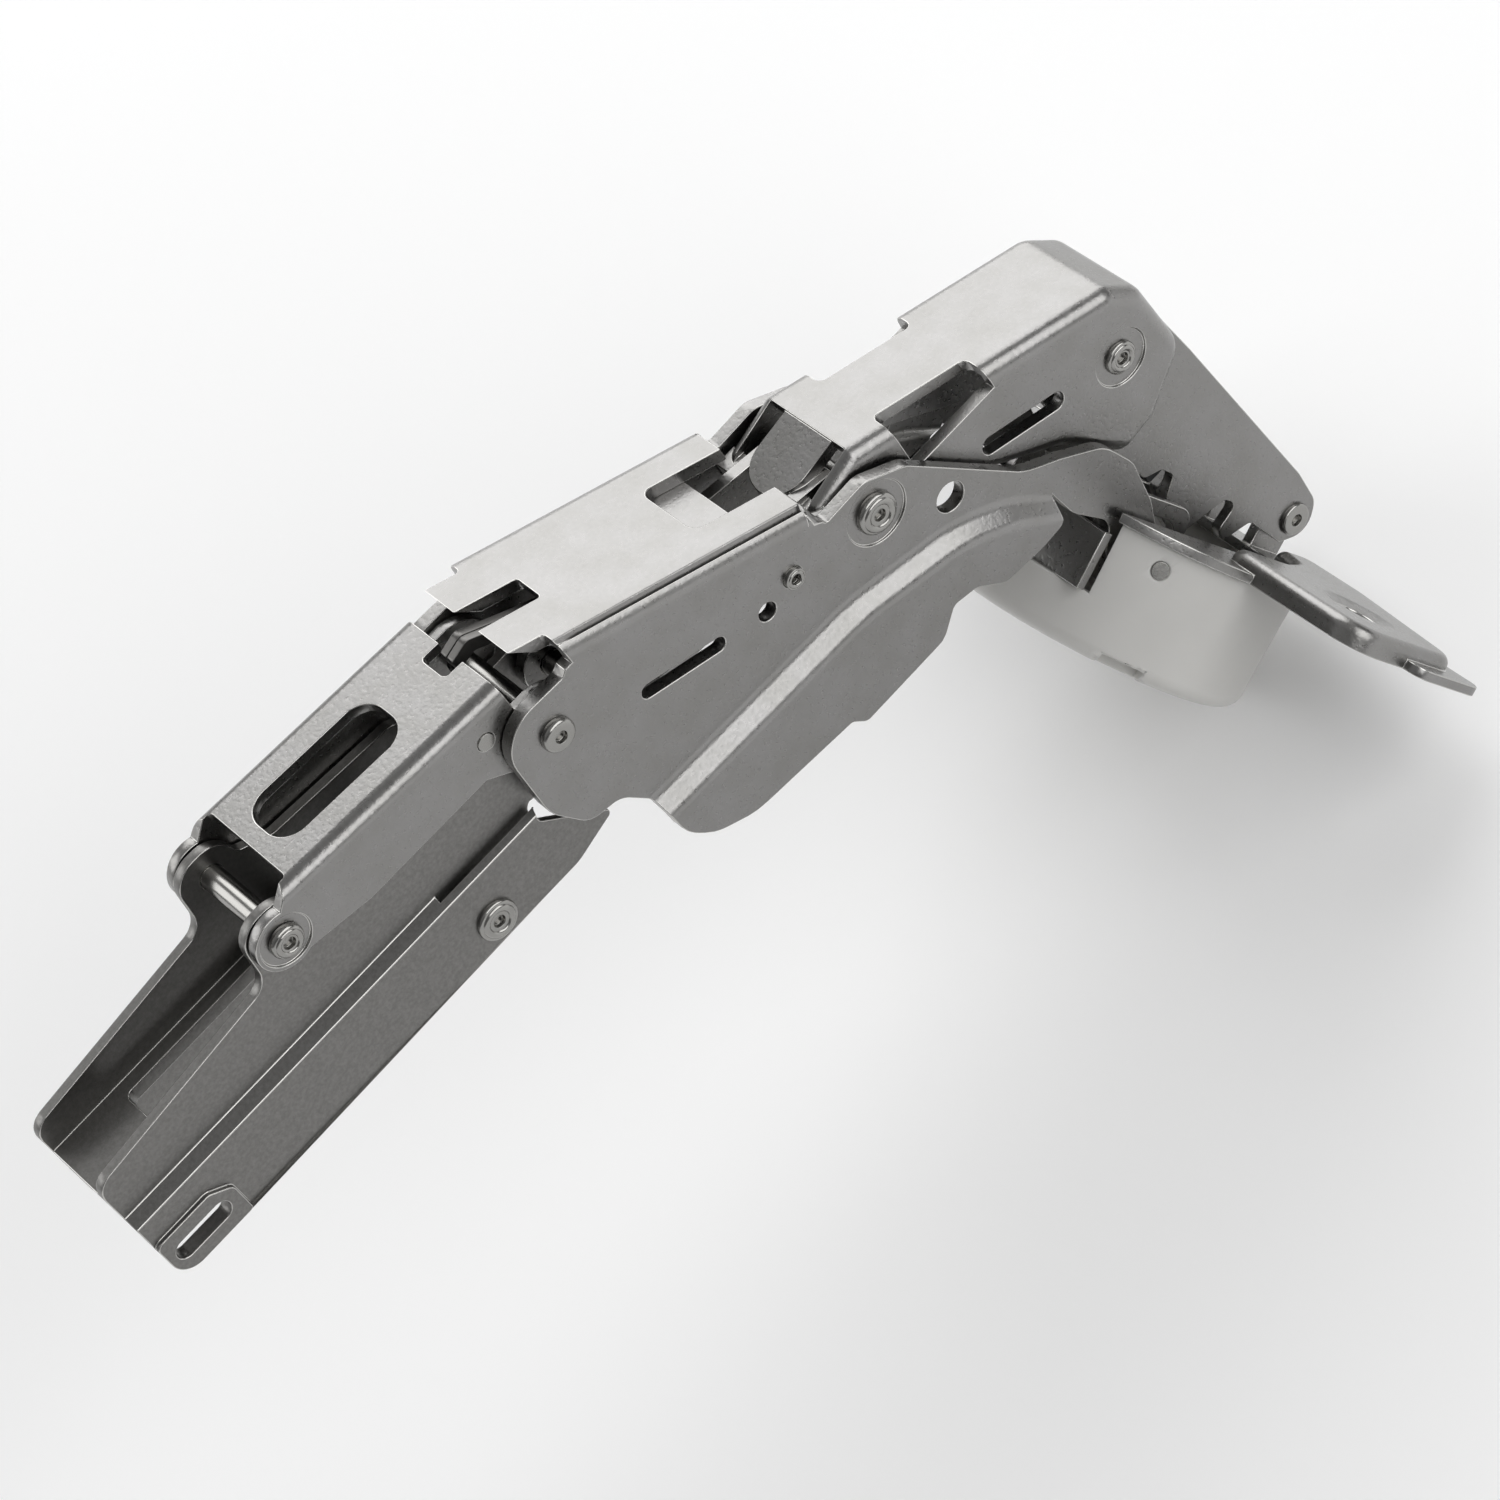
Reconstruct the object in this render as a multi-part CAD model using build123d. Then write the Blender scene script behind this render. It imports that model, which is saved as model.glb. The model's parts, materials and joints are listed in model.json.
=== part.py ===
from build123d import *
import math
import os

# Wide-angle concealed cabinet hinge, drawn fully open as it leaves the box.
# X runs along the arm to the door, Z stands off the cabinet side, Y crosses the hinge.
# The origin lies on the seat plane, mid-width, under the arm's rear pivot.

# Pivot layout in side view, each pivot from the one before it
PIVOT_HEIGHT = 21.0
BOX_REACH = 29.8
BOX_DROP = 4.8
LEVER_REACH = 35.8
LEVER_DROP = 10.6
INNER_REACH = 28.8
INNER_DROP = 12.1
LINK_REACH = 7.8
LINK_DROP = 37.9
FINGER_REACH = 19.4
FINGER_DROP = 29.6

# Travel from open to closed, in degrees
OPEN_ANGLE = 155.0
BOX_TRAVEL = 117.4
LINK_TURN = 13.3

# Sheet and wall thicknesses
ARM_WALL = 1.1
SKIRT_WALL = 1.2
FLOOR_WALL = 1.6
BOX_SHEET = 1.2
LEVER_SHEET = 1.5
INNER_SHEET = 1.4
LINK_SHEET = 1.2
EAR_SHEET = 1.2
BRACKET_SHEET = 1.15
FLANGE_SHEET = 1.0
SPRING_SHEET = 0.9

# Side gaps between the nested sheets, from the arm's walls outwards and inwards
ARM_WALL_Y = 5.7
SIDE_GAP = 0.2
LEVER_GAP = 0.15
INNER_GAP = 0.5
LEG_GAP = 0.3

# Pins and rivets
PIN_R = 1.25
CROSS_R = 1.7
RUN_GAP = 0.05
SNUG_GAP = 0.01
HEAD_R = 1.75
HEAD_H = 0.5
HEAD_GAP = 0.06
DIMPLE_R = 0.65
DIMPLE_DEPTH = 0.5
DISH_DEPTH = 0.25

# Arm casting
ARM_REAR_X = -27.0
ARM_TIP_X = 30.0
SKIRT_HEIGHT = 8.6
SKIRT_STEP = 1.35
LEDGE_RISE = 0.8
FLOOR_Z = 11.0
ARM_EAR_R = 3.1
FRONT_EAR_R = 3.4
FLOOR_END_X = 26.0
WALL_REAR_Z = 14.6
WALL_FRONT_Z = 17.3
HOOK_X = 15.3
HOOK_Z = 2.8
HOOK_R = 1.9
LATCH_X = -22.8
LATCH_Z = 2.8
LATCH_LENGTH = 6.6
LATCH_WIDTH = 2.2
LATCH_BOSS = 0.5

# Box link
BOX_TOP_X = 3.8
BOX_FRONT_X = 28.5
BOX_TOP_RISE = 4.6
BOX_FRONT_RISE = 3.0
BOX_EAR_R = 3.2
BOX_NOSE_R = 4.0
BOX_EDGE_DROP = 4.0
BOX_BEND_R = 1.6
WINDOW_X = 13.2
WINDOW_LENGTH = 15.0
WINDOW_WIDTH = 6.6
WINDOW_CORNER = 2.6
STOP_R = 0.9

# Main lever
TOP_REAR_X = 31.2
TOP_FRONT_X = 60.4
TOP_REAR_RISE = 4.3
TOP_FRONT_DROP = 8.2
LEVER_BEND_R = 2.0
LEVER_EAR_R = 4.8
WING_STEP = 1.7
CREASE_R = 24.0
WING_DEPTH = 9.8
FRONT_NOTCH_LENGTH = 8.5
FRONT_NOTCH_WIDTH = 8.0
SPRING_SLOT_LENGTH = 6.4
SPRING_SLOT_WIDTH = 3.6
RELIEF_Y = 6.3

# Inner lever
INNER_TOP_REAR = 67.4
INNER_BEND_R = 1.8
TONGUE_LENGTH = 7.4
TONGUE_WIDTH = 6.8
LEG_R = 3.2
NOSE_DROP = 10.2

# Cup, in its own frame: across the hinge line, along Y, and out of the door
CUP_OFFSET = 15.2
CUP_RISE = 5.3
CUP_R = 17.0
CUP_WALL = 1.5
CUP_DEPTH = 13.2
CUP_BASE_R = 1.8
CUP_DRAFT = 0.2
NICK_WIDTH = 4.6
NICK_HEIGHT = 1.2
FLANGE_R = 17.9
SCREW_SPACING = 48.0
SCREW_OFFSET = 6.0
SCREW_R = 2.1
SCREW_HEAD_R = 4.0
WING_PLATE_WIDTH = 17.4
WING_PLATE_HEIGHT = 2.4
FLANGE_LENGTH = 64.4
FLANGE_BEND_R = 1.1
WING_ROOT = 13.2
TONGUE_REACH = 2.2
MOUTH_HALF_WIDTH = 9.7
DAMPER_R = 2.7
DAMPER_LENGTH = 19.0
APRON_LOW = 7.4
APRON_HIGH = 1.4
APRON_SETBACK = 2.5
PEG_R = 0.9
PEG_DEPTH = 0.7
PEG_DROP = 2.4
PEG_ANGLE = 128.0


def point(x, z):
    return (x, z)


def shift(p, dx, dz):
    return (p[0] + dx, p[1] + dz)


def turned(dx, dz, degrees):
    c = math.cos(math.radians(degrees))
    s = math.sin(math.radians(degrees))
    return (c * dx - s * dz, s * dx + c * dz)


# Pivots at rest
REAR = point(0.0, PIVOT_HEIGHT)
BOX_TOP_Z = PIVOT_HEIGHT + BOX_TOP_RISE
BOX_FRONT_Z = PIVOT_HEIGHT + BOX_FRONT_RISE
BOX_EDGE_Z = PIVOT_HEIGHT - BOX_EDGE_DROP
TOP_REAR_Z = PIVOT_HEIGHT + TOP_REAR_RISE
TOP_FRONT_Z = PIVOT_HEIGHT - TOP_FRONT_DROP
BOX = shift(REAR, BOX_REACH, -BOX_DROP)
CROSS = shift(BOX, LEVER_REACH, -LEVER_DROP)
FRONT = shift(REAR, LEVER_REACH, -LEVER_DROP)
LINK = shift(CROSS, INNER_REACH, -INNER_DROP)
CUP = shift(LINK, LINK_REACH, -LINK_DROP)
FINGER = shift(CROSS, FINGER_REACH, -FINGER_DROP)

CREASE_RADII = [0.0, CREASE_R, CREASE_R, 0.0]
STOP_SEAT = (BOX_FRONT_X - 3.8, BOX_EDGE_Z + 3.2)

# Side faces of the nested sheets, as distances from the middle plane
ARM_IN_Y = ARM_WALL_Y - ARM_WALL
SKIRT_Y = ARM_WALL_Y + SKIRT_STEP
BOX_IN_Y = ARM_WALL_Y + SIDE_GAP
BOX_Y = BOX_IN_Y + BOX_SHEET
LEVER_IN_Y = BOX_Y + LEVER_GAP
LEVER_Y = LEVER_IN_Y + LEVER_SHEET
WING_IN_Y = LEVER_IN_Y + WING_STEP
WING_Y = LEVER_Y + WING_STEP
INNER_Y = LEVER_IN_Y - INNER_GAP
INNER_IN_Y = INNER_Y - INNER_SHEET
LEG_Y = ARM_IN_Y - LEG_GAP
LEG_IN_Y = LEG_Y - INNER_SHEET
CUP_LINK_Y = INNER_IN_Y - LEVER_GAP
CUP_LINK_IN_Y = CUP_LINK_Y - LINK_SHEET
EAR_Y = CUP_LINK_IN_Y - SIDE_GAP
EAR_IN_Y = EAR_Y - EAR_SHEET
BRACKET_Y = LEVER_IN_Y - SIDE_GAP
BRACKET_IN_Y = BRACKET_Y - BRACKET_SHEET

# The cup's frame: its first axis crosses the hinge line, its third points out of the door
CUP_ACROSS = turned(0.0, 1.0, -OPEN_ANGLE)
CUP_OUT = turned(-1.0, 0.0, -OPEN_ANGLE)
CUP_X = CUP[0] - CUP_OFFSET * CUP_ACROSS[0] - CUP_RISE * CUP_OUT[0]
CUP_Z = CUP[1] - CUP_OFFSET * CUP_ACROSS[1] - CUP_RISE * CUP_OUT[1]
CUP_PLANE = Plane(
    origin=(CUP_X, 0, CUP_Z),
    x_dir=(CUP_ACROSS[0], 0, CUP_ACROSS[1]),
    z_dir=(CUP_OUT[0], 0, CUP_OUT[1]),
)


def in_cup(p):
    """A side-view point in the cup's frame, as (across, out)."""
    dx = p[0] - CUP_X
    dz = p[1] - CUP_Z
    across = dx * CUP_ACROSS[0] + dz * CUP_ACROSS[1]
    out = dx * CUP_OUT[0] + dz * CUP_OUT[1]
    return (across, out)


FINGER_ACROSS, FINGER_OUT = in_cup(FINGER)


def slab(face, low, high):
    """A side-view face made solid between two Y planes."""
    return extrude(Plane.XZ.offset(-high) * face, amount=high - low)


def pair(face, low, high):
    """The same side-view plate on both sides of the hinge."""
    return slab(face, low, high) + slab(face, -high, -low)


def outline(points, radius):
    return make_face(FilletPolyline(*points, radius=radius, close=True))


def disc(p, radius):
    return Pos(p[0], p[1]) * Circle(radius)


def strap(p, p_radius, q, q_radius):
    """A link plate: two round ends and the straight sides between them."""
    return make_hull(disc(p, p_radius).edges() + disc(q, q_radius).edges())


def bore(p, radius):
    return slab(disc(p, radius), -WING_Y - 5.0, WING_Y + 5.0)


def rivet(p, radius, half_length, head_radius, head_height):
    """A pin across the hinge with a rounded, dimpled head on each end."""
    body = slab(disc(p, radius), -half_length, half_length)
    heads = pair(disc(p, head_radius), half_length, half_length + head_height)
    end = half_length + head_height
    rims = heads.edges().filter_by(GeomType.CIRCLE)
    rims = rims.filter_by(lambda edge: abs(edge.center().Y) > end - 0.01)
    heads = fillet(rims, head_height * 0.6)
    return body + heads - pair(disc(p, DIMPLE_R), end - DIMPLE_DEPTH, end + 1.0)


def slot_face(p, q, width):
    """A round-ended slot between two side-view points."""
    return strap(p, width / 2, q, width / 2)


def top_cut(x_low, x_high, y_low, y_high, z_low, z_high, corner):
    """An upright block with rounded corners, for cuts made from above."""
    face = RectangleRounded(x_high - x_low, y_high - y_low, corner)
    centre = Pos((x_low + x_high) / 2, (y_low + y_high) / 2, z_low)
    return extrude(centre * face, amount=z_high - z_low)


def bend_cut(start, end, half_width, radius, run_in):
    """The corners lost where a folded sheet rounds over along a sloping top line."""
    run = (end[0] - start[0], end[1] - start[1])
    length = math.hypot(*run)
    along = (run[0] / length, 0, run[1] / length)
    plane = Plane(origin=(start[0], 0, start[1]), x_dir=(0, 1, 0), z_dir=along)
    deep = 40.0
    round_bar = Pos(0, -deep) * RectangleRounded(2 * half_width, 2 * deep, radius)
    square_bar = Pos(0, -deep / 4 + 1.0) * Rectangle(2 * half_width + 2.0, deep / 2)
    corners = plane.offset(-run_in) * (square_bar - round_bar)
    return extrude(corners, amount=length + run_in)


def lever_top_z(x):
    slope = (TOP_FRONT_Z - TOP_REAR_Z) / (TOP_FRONT_X - TOP_REAR_X)
    return TOP_REAR_Z + slope * (x - TOP_REAR_X)


def box_top_z(x):
    slope = (BOX_FRONT_Z - BOX_TOP_Z) / (BOX_FRONT_X - BOX_TOP_X)
    return BOX_TOP_Z + slope * (x - BOX_TOP_X)


def hinge_arm():
    """Die-cast arm: channel with stepped skirts, rear ears and front ears."""
    ledge_z = SKIRT_HEIGHT + LEDGE_RISE
    skirt_in = SKIRT_Y - SKIRT_WALL
    high = PIVOT_HEIGHT + ARM_EAR_R + 1.0
    half = [
        (SKIRT_Y, 0.0),
        (SKIRT_Y, SKIRT_HEIGHT),
        (ARM_WALL_Y, ledge_z),
        (ARM_WALL_Y, high),
        (ARM_IN_Y, high),
        (ARM_IN_Y, FLOOR_Z),
    ]
    under = [
        (ARM_IN_Y, FLOOR_Z - FLOOR_WALL),
        (skirt_in, SKIRT_HEIGHT - SKIRT_WALL),
        (skirt_in, 0.0),
    ]
    right = half + [(-y, z) for y, z in reversed(half)]
    left = [(-y, z) for y, z in reversed(under)] + under
    section = make_face(Polyline(*right, *left, close=True))
    length = FLOOR_END_X + 8.0 - ARM_REAR_X
    channel = extrude(Plane.YZ.offset(ARM_REAR_X) * section, amount=length)
    side = [
        (ARM_REAR_X, 0.0),
        (ARM_TIP_X - 5.5, 0.0),
        (ARM_TIP_X, 1.6),
        (ARM_TIP_X - 7.0, SKIRT_HEIGHT + 0.1),
        (FLOOR_END_X, ledge_z),
        (FLOOR_END_X, FRONT[1] + FRONT_EAR_R - 0.3),
        (FLOOR_END_X - 5.0, PIVOT_HEIGHT - 3.0),
        (ARM_EAR_R + 3.5, PIVOT_HEIGHT - 1.8),
        (ARM_EAR_R, PIVOT_HEIGHT),
        (ARM_EAR_R, PIVOT_HEIGHT + ARM_EAR_R),
        (-ARM_EAR_R, PIVOT_HEIGHT + ARM_EAR_R),
        (-ARM_EAR_R - 0.6, WALL_FRONT_Z),
        (ARM_REAR_X, WALL_REAR_Z),
    ]
    radii = [2.4, 3.0, 0.5, 1.0, 0.3, 1.5, 2.0, 2.0, 1.0, 2.9, 2.9, 2.2, 2.0]
    body = channel & slab(outline(side, radii), -SKIRT_Y, SKIRT_Y)
    ear_root = make_face(
        Polyline(
            (FLOOR_END_X - 4.0, ledge_z + 0.2),
            (FLOOR_END_X, ledge_z + 0.2),
            (FLOOR_END_X, FRONT[1] + FRONT_EAR_R - 0.4),
            (FLOOR_END_X - 4.0, FRONT[1] + FRONT_EAR_R - 0.4),
            close=True,
        )
    )
    ear = make_hull(ear_root.edges() + disc(FRONT, FRONT_EAR_R).edges())
    body += pair(ear, ARM_IN_Y, ARM_WALL_Y)
    boss = outline(
        [
            (ARM_REAR_X, 0.0),
            (LATCH_X + 4.6, 0.0),
            (LATCH_X + 4.6, LATCH_Z + 1.2),
            (LATCH_X + 2.4, LATCH_Z + 2.8),
            (ARM_REAR_X, LATCH_Z + 2.8),
        ],
        [2.4, 0.4, 1.0, 1.0, 0.8],
    )
    body += pair(boss, SKIRT_Y - 0.2, SKIRT_Y + LATCH_BOSS)
    half_slot = (LATCH_LENGTH - LATCH_WIDTH) / 2
    latch = slot_face((LATCH_X - half_slot, LATCH_Z), (LATCH_X + half_slot, LATCH_Z), LATCH_WIDTH)
    body -= slab(latch, -SKIRT_Y - 2.0, SKIRT_Y + 2.0)
    body -= top_cut(-19.0, 1.5, -3.0, 3.0, 0.0, FLOOR_Z + 1.0, 0.8)
    body -= top_cut(5.0, FLOOR_END_X - 4.0, -3.2, 3.2, 0.0, FLOOR_Z + 1.0, 1.5)
    groove_y = (ARM_WALL_Y + SKIRT_Y) / 2 - 0.05
    for sign in (-1, 1):
        low = min(sign * (ARM_WALL_Y + 0.02), sign * groove_y)
        high_y = max(sign * (ARM_WALL_Y + 0.02), sign * groove_y)
        groove = Box(ARM_TIP_X - 12.5, high_y - low, 4.5)
        body -= Pos((ARM_TIP_X + 12.5) / 2, (low + high_y) / 2, SKIRT_HEIGHT - 1.0) * groove
    body -= bore(REAR, PIN_R + SNUG_GAP)
    body -= bore(FRONT, PIN_R + SNUG_GAP)
    body -= bore((HOOK_X, HOOK_Z), HOOK_R + SNUG_GAP)
    return body


def arm_rear_pin():
    return rivet(REAR, PIN_R, BOX_Y - DISH_DEPTH + HEAD_GAP, HEAD_R, HEAD_H + DISH_DEPTH)


def arm_front_pin():
    return slab(disc(FRONT, PIN_R), -ARM_WALL_Y, ARM_WALL_Y)


def plate_hook_rivet():
    """Cross rivet under the channel that hooks into a mounting plate."""
    return rivet((HOOK_X, HOOK_Z), HOOK_R, SKIRT_Y, HOOK_R + 0.25, HEAD_H)


def box_link():
    """Folded link: top face with an oblong window, two eared sides."""
    side = [
        (BOX_TOP_X - 0.8, box_top_z(BOX_TOP_X - 0.8)),
        (BOX_FRONT_X, box_top_z(BOX_FRONT_X)),
        (BOX_FRONT_X, BOX[1]),
        (BOX_FRONT_X - 5.0, BOX_EDGE_Z - 0.4),
        (8.0, BOX_EDGE_Z - 0.2),
        (1.0, PIVOT_HEIGHT - BOX_EAR_R + 0.3),
        (-1.0, PIVOT_HEIGHT + 1.0),
    ]
    face = make_face(Polyline(*side, close=True))
    face = face + disc(REAR, BOX_EAR_R) + disc(BOX, BOX_NOSE_R)
    face = face + strap(shift(BOX, -6.0, 2.0), 2.0, BOX, BOX_NOSE_R)
    block = slab(face, -BOX_Y, BOX_Y)
    bends = block.edges().filter_by(
        lambda edge: edge.length > 15.0 and abs(edge.center().Z - box_top_z(WINDOW_X)) < 2.0
    )
    block = fillet(bends, BOX_BEND_R)
    low = 0.0
    inner = make_face(
        Polyline(
            (-20.0, low),
            (BOX_FRONT_X + 20.0, low),
            (BOX_FRONT_X + 20.0, box_top_z(BOX_FRONT_X + 20.0) - BOX_SHEET),
            (-20.0, box_top_z(-20.0) - BOX_SHEET),
            close=True,
        )
    )
    body = block - slab(inner, -BOX_IN_Y, BOX_IN_Y)
    body -= top_cut(-20.0, BOX_TOP_X, -BOX_IN_Y, BOX_IN_Y, 10.0, 40.0, 0.5)
    body -= top_cut(BOX_FRONT_X, 50.0, -BOX_IN_Y, BOX_IN_Y, 10.0, 40.0, 0.5)
    half_window = WINDOW_LENGTH / 2
    body -= top_cut(
        WINDOW_X - half_window,
        WINDOW_X + half_window,
        -WINDOW_WIDTH / 2,
        WINDOW_WIDTH / 2,
        BOX_FRONT_Z - 4.0,
        BOX_TOP_Z + 3.0,
        WINDOW_CORNER,
    )
    notch = SPRING_SLOT_WIDTH / 2
    body -= top_cut(BOX_FRONT_X - 2.2, 50.0, -notch, notch, BOX_FRONT_Z - 4.0, BOX_TOP_Z + 3.0, 0.6)
    body -= bore(REAR, PIN_R + RUN_GAP)
    body -= bore(BOX, PIN_R + RUN_GAP)
    body -= bore(STOP_SEAT, STOP_R + SNUG_GAP)
    body -= pair(disc(REAR, BOX_EAR_R - 0.5), BOX_Y - DISH_DEPTH, BOX_Y + 1.0)
    return body


def link_stop_rivets():
    """Small stop rivets in the box link's sides, flush inside."""
    return pair(disc(STOP_SEAT, STOP_R), BOX_IN_Y, BOX_Y + 0.1)


def main_lever_side():
    """Side outline of the main lever down to its crease, without the wing."""
    upper = [
        (TOP_REAR_X, lever_top_z(TOP_REAR_X)),
        (TOP_FRONT_X, lever_top_z(TOP_FRONT_X)),
        (TOP_FRONT_X + 0.6, lever_top_z(TOP_FRONT_X) - 3.2),
        shift(CROSS, 0.5, 4.2),
        shift(CROSS, 4.8, 1.6),
        shift(CROSS, 14.0, -11.0),
    ]
    finger = [
        shift(FINGER, -1.5, 16.0),
        shift(FINGER, 2.8, 12.6),
        shift(FINGER, 4.4, 8.0),
        shift(FINGER, 4.0, 2.2),
        shift(FINGER, 2.6, -2.6),
        shift(FINGER, -2.4, -2.8),
        shift(FINGER, -2.8, 1.6),
        shift(FINGER, -0.6, 4.4),
        shift(FINGER, -3.4, 9.2),
    ]
    rear = [
        shift(BOX, 1.0, -12.3),
        shift(BOX, -2.6, -11.6),
        shift(BOX, -5.0, -7.0),
        shift(BOX, -LEVER_EAR_R, LEVER_EAR_R),
        shift(BOX, 3.4, LEVER_EAR_R - 0.4),
        shift(BOX, 4.6, LEVER_EAR_R + 0.4),
    ]
    crease = list(reversed(lever_crease()))
    radii = [0.0, 0.0, 0.6, 2.0, 3.0, 8.0]
    radii += [5.0, 5.0, 3.0, 2.5, 2.0, 2.0, 1.5, 2.0, 3.0]
    radii += CREASE_RADII
    radii += [2.5, 2.5, 6.0, LEVER_EAR_R - 0.4, 0.6, 0.3]
    return outline(upper + finger + crease + rear, radii)


def lever_crease():
    """The bend line where the side steps out into the wing, rear to front."""
    return [
        shift(BOX, 3.2, -15.6),
        shift(CROSS, -7.0, -5.6),
        shift(CROSS, 8.6, -9.2),
        shift(FINGER, -4.2, 13.4),
    ]


def wing_outline():
    """The wing below the crease, with its stepped lower edge."""
    crease = lever_crease()
    low = [
        shift(FINGER, -5.4, 11.2),
        shift(CROSS, 11.0, -18.6),
        shift(CROSS, 6.2, -18.2),
        shift(CROSS, 3.6, -15.6),
        shift(CROSS, 0.8, -15.0),
        shift(CROSS, -1.8, -17.4),
        shift(CROSS, -12.4, -17.5),
        shift(CROSS, -13.6, -16.0),
        shift(BOX, 9.8, -16.2 - WING_DEPTH + 0.5),
        shift(BOX, 5.6, -16.0 - WING_DEPTH * 0.75),
        shift(BOX, 3.4, -16.0 - WING_DEPTH * 0.45),
    ]
    radii = [1.0, 2.5, 1.5, 1.2, 1.0, 2.0, 1.0, 0.8, 8.0, 6.0, 5.0]
    return outline(crease + low, CREASE_RADII + radii)


def lever_wing():
    """One outward step and wing on the positive side, cut from a thick slab."""
    crease = lever_crease()
    back = crease[0]
    front = crease[-1]
    lap = 1.6
    raised = [shift(p, 0.0, lap) for p in crease]
    wing = wing_outline()
    strip = outline(raised + crease[::-1], CREASE_RADII * 2)
    thick = slab(wing, LEVER_IN_Y, WING_Y) + slab(strip, LEVER_IN_Y, WING_Y)
    above = [
        shift(back, -15.0, 0.0),
        *crease,
        shift(front, 15.0, -12.0),
        shift(front, 15.0, 40.0),
        shift(back, -15.0, 40.0),
    ]
    outer_cut = extrude(
        Plane.XZ.offset(-LEVER_Y) * outline(above, [0.0, *CREASE_RADII, 0.0, 0.0, 0.0]),
        amount=-WING_STEP,
        taper=-45,
    )
    drop = LEVER_SHEET * math.tan(math.radians(22.5))
    inner_line = [shift(p, 0.0, -drop) for p in crease]
    below = [
        shift(inner_line[0], -15.0, 0.0),
        *inner_line,
        shift(inner_line[-1], 15.0, -12.0),
        shift(inner_line[-1], 15.0, -60.0),
        shift(inner_line[0], -15.0, -60.0),
    ]
    inner_cut = extrude(
        Plane.XZ.offset(-LEVER_IN_Y) * outline(below, [0.0, *CREASE_RADII, 0.0, 0.0, 0.0]),
        amount=-WING_STEP,
        taper=45,
    )
    return thick - outer_cut - inner_cut


def main_lever():
    """Folded outer lever: top face, two long sides, stepped wings and fingers."""
    face = main_lever_side()
    block = slab(face, -LEVER_Y, LEVER_Y)
    block -= bend_cut(
        (TOP_REAR_X, TOP_REAR_Z), (TOP_FRONT_X, TOP_FRONT_Z), LEVER_Y, LEVER_BEND_R, 12.0
    )
    drop = LEVER_SHEET * 1.09
    inner = make_face(
        Polyline(
            (TOP_REAR_X - 40.0, -80.0),
            (TOP_FRONT_X + 60.0, -80.0),
            (TOP_FRONT_X + 60.0, 60.0),
            (TOP_FRONT_X, 60.0),
            (TOP_FRONT_X, lever_top_z(TOP_FRONT_X) - drop),
            (TOP_REAR_X - 40.0, lever_top_z(TOP_REAR_X - 40.0) - drop),
            close=True,
        )
    )
    body = block - slab(inner, -LEVER_IN_Y, LEVER_IN_Y)
    wing = lever_wing()
    body = body + wing + mirror(wing, Plane.XZ)
    half_notch = FRONT_NOTCH_WIDTH / 2
    body -= top_cut(
        TOP_FRONT_X - FRONT_NOTCH_LENGTH, TOP_FRONT_X + 10.0, -half_notch, half_notch, 5.0, 40.0, 1.2
    )
    half_slot = SPRING_SLOT_WIDTH / 2
    slot_end = TOP_REAR_X + SPRING_SLOT_LENGTH
    body -= top_cut(TOP_REAR_X - 10.0, slot_end, -half_slot, half_slot, 12.0, 40.0, 0.4)
    body -= bore(BOX, PIN_R + SNUG_GAP)
    body -= bore(CROSS, CROSS_R + SNUG_GAP)
    body -= bore(FINGER, PIN_R + SNUG_GAP)
    body -= pair(disc(CROSS, CROSS_R + 1.7), LEVER_Y - DISH_DEPTH, LEVER_Y + 1.0)
    for sign in (-1, 1):
        low = min(sign * RELIEF_Y, sign * (LEVER_Y + 1.0))
        relief = LEVER_Y + 1.0 - RELIEF_Y
        body -= top_cut(
            TOP_REAR_X - 5.0, TOP_REAR_X + 3.6, low, low + relief, BOX[1] + LEVER_EAR_R + 0.1, 40.0, 0.5
        )
    body -= bore(shift(CROSS, 6.7, -5.9), 1.6)
    body -= bore(shift(CROSS, -13.7, 1.4), 1.0)
    body -= bore(shift(CROSS, -9.9, 2.2), 1.1 + SNUG_GAP)
    slot = slot_face(shift(CROSS, -26.8, 5.6), shift(CROSS, -19.2, 3.1), 1.6)
    body -= slab(slot, -LEVER_Y - 3.0, LEVER_Y + 3.0)
    return body


def lever_rear_pin():
    return rivet(BOX, PIN_R, LEVER_Y, HEAD_R, HEAD_H + 0.3)


def crossing_rivet():
    return rivet(CROSS, CROSS_R, LEVER_Y - DISH_DEPTH, CROSS_R + 0.5, HEAD_H + DISH_DEPTH)


def side_rivets():
    """Short rivets in the main lever's sides, behind the crossing."""
    seat = shift(CROSS, -9.9, 2.2)
    stub = pair(disc(seat, 1.1), LEVER_IN_Y, LEVER_Y + HEAD_H)
    end = LEVER_Y + HEAD_H
    return stub - pair(disc(seat, DIMPLE_R), end - DIMPLE_DEPTH, end + 1.0)


def finger_pin():
    return slab(disc(FINGER, PIN_R), -LEVER_Y, LEVER_Y)


def spring_plate():
    """Flat plate lying under the main lever's top face."""
    top = LEVER_SHEET * 1.09
    thick = SPRING_SHEET
    rear = TOP_REAR_X + SPRING_SLOT_LENGTH + 1.0
    front = TOP_FRONT_X - 4.5
    face = make_face(
        Polyline(
            (rear, lever_top_z(rear) - top),
            (front, lever_top_z(front) - top),
            (front, lever_top_z(front) - top - thick),
            (rear, lever_top_z(rear) - top - thick),
            close=True,
        )
    )
    return slab(face, -LEVER_IN_Y + 1.2, LEVER_IN_Y - 1.2)


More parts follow.
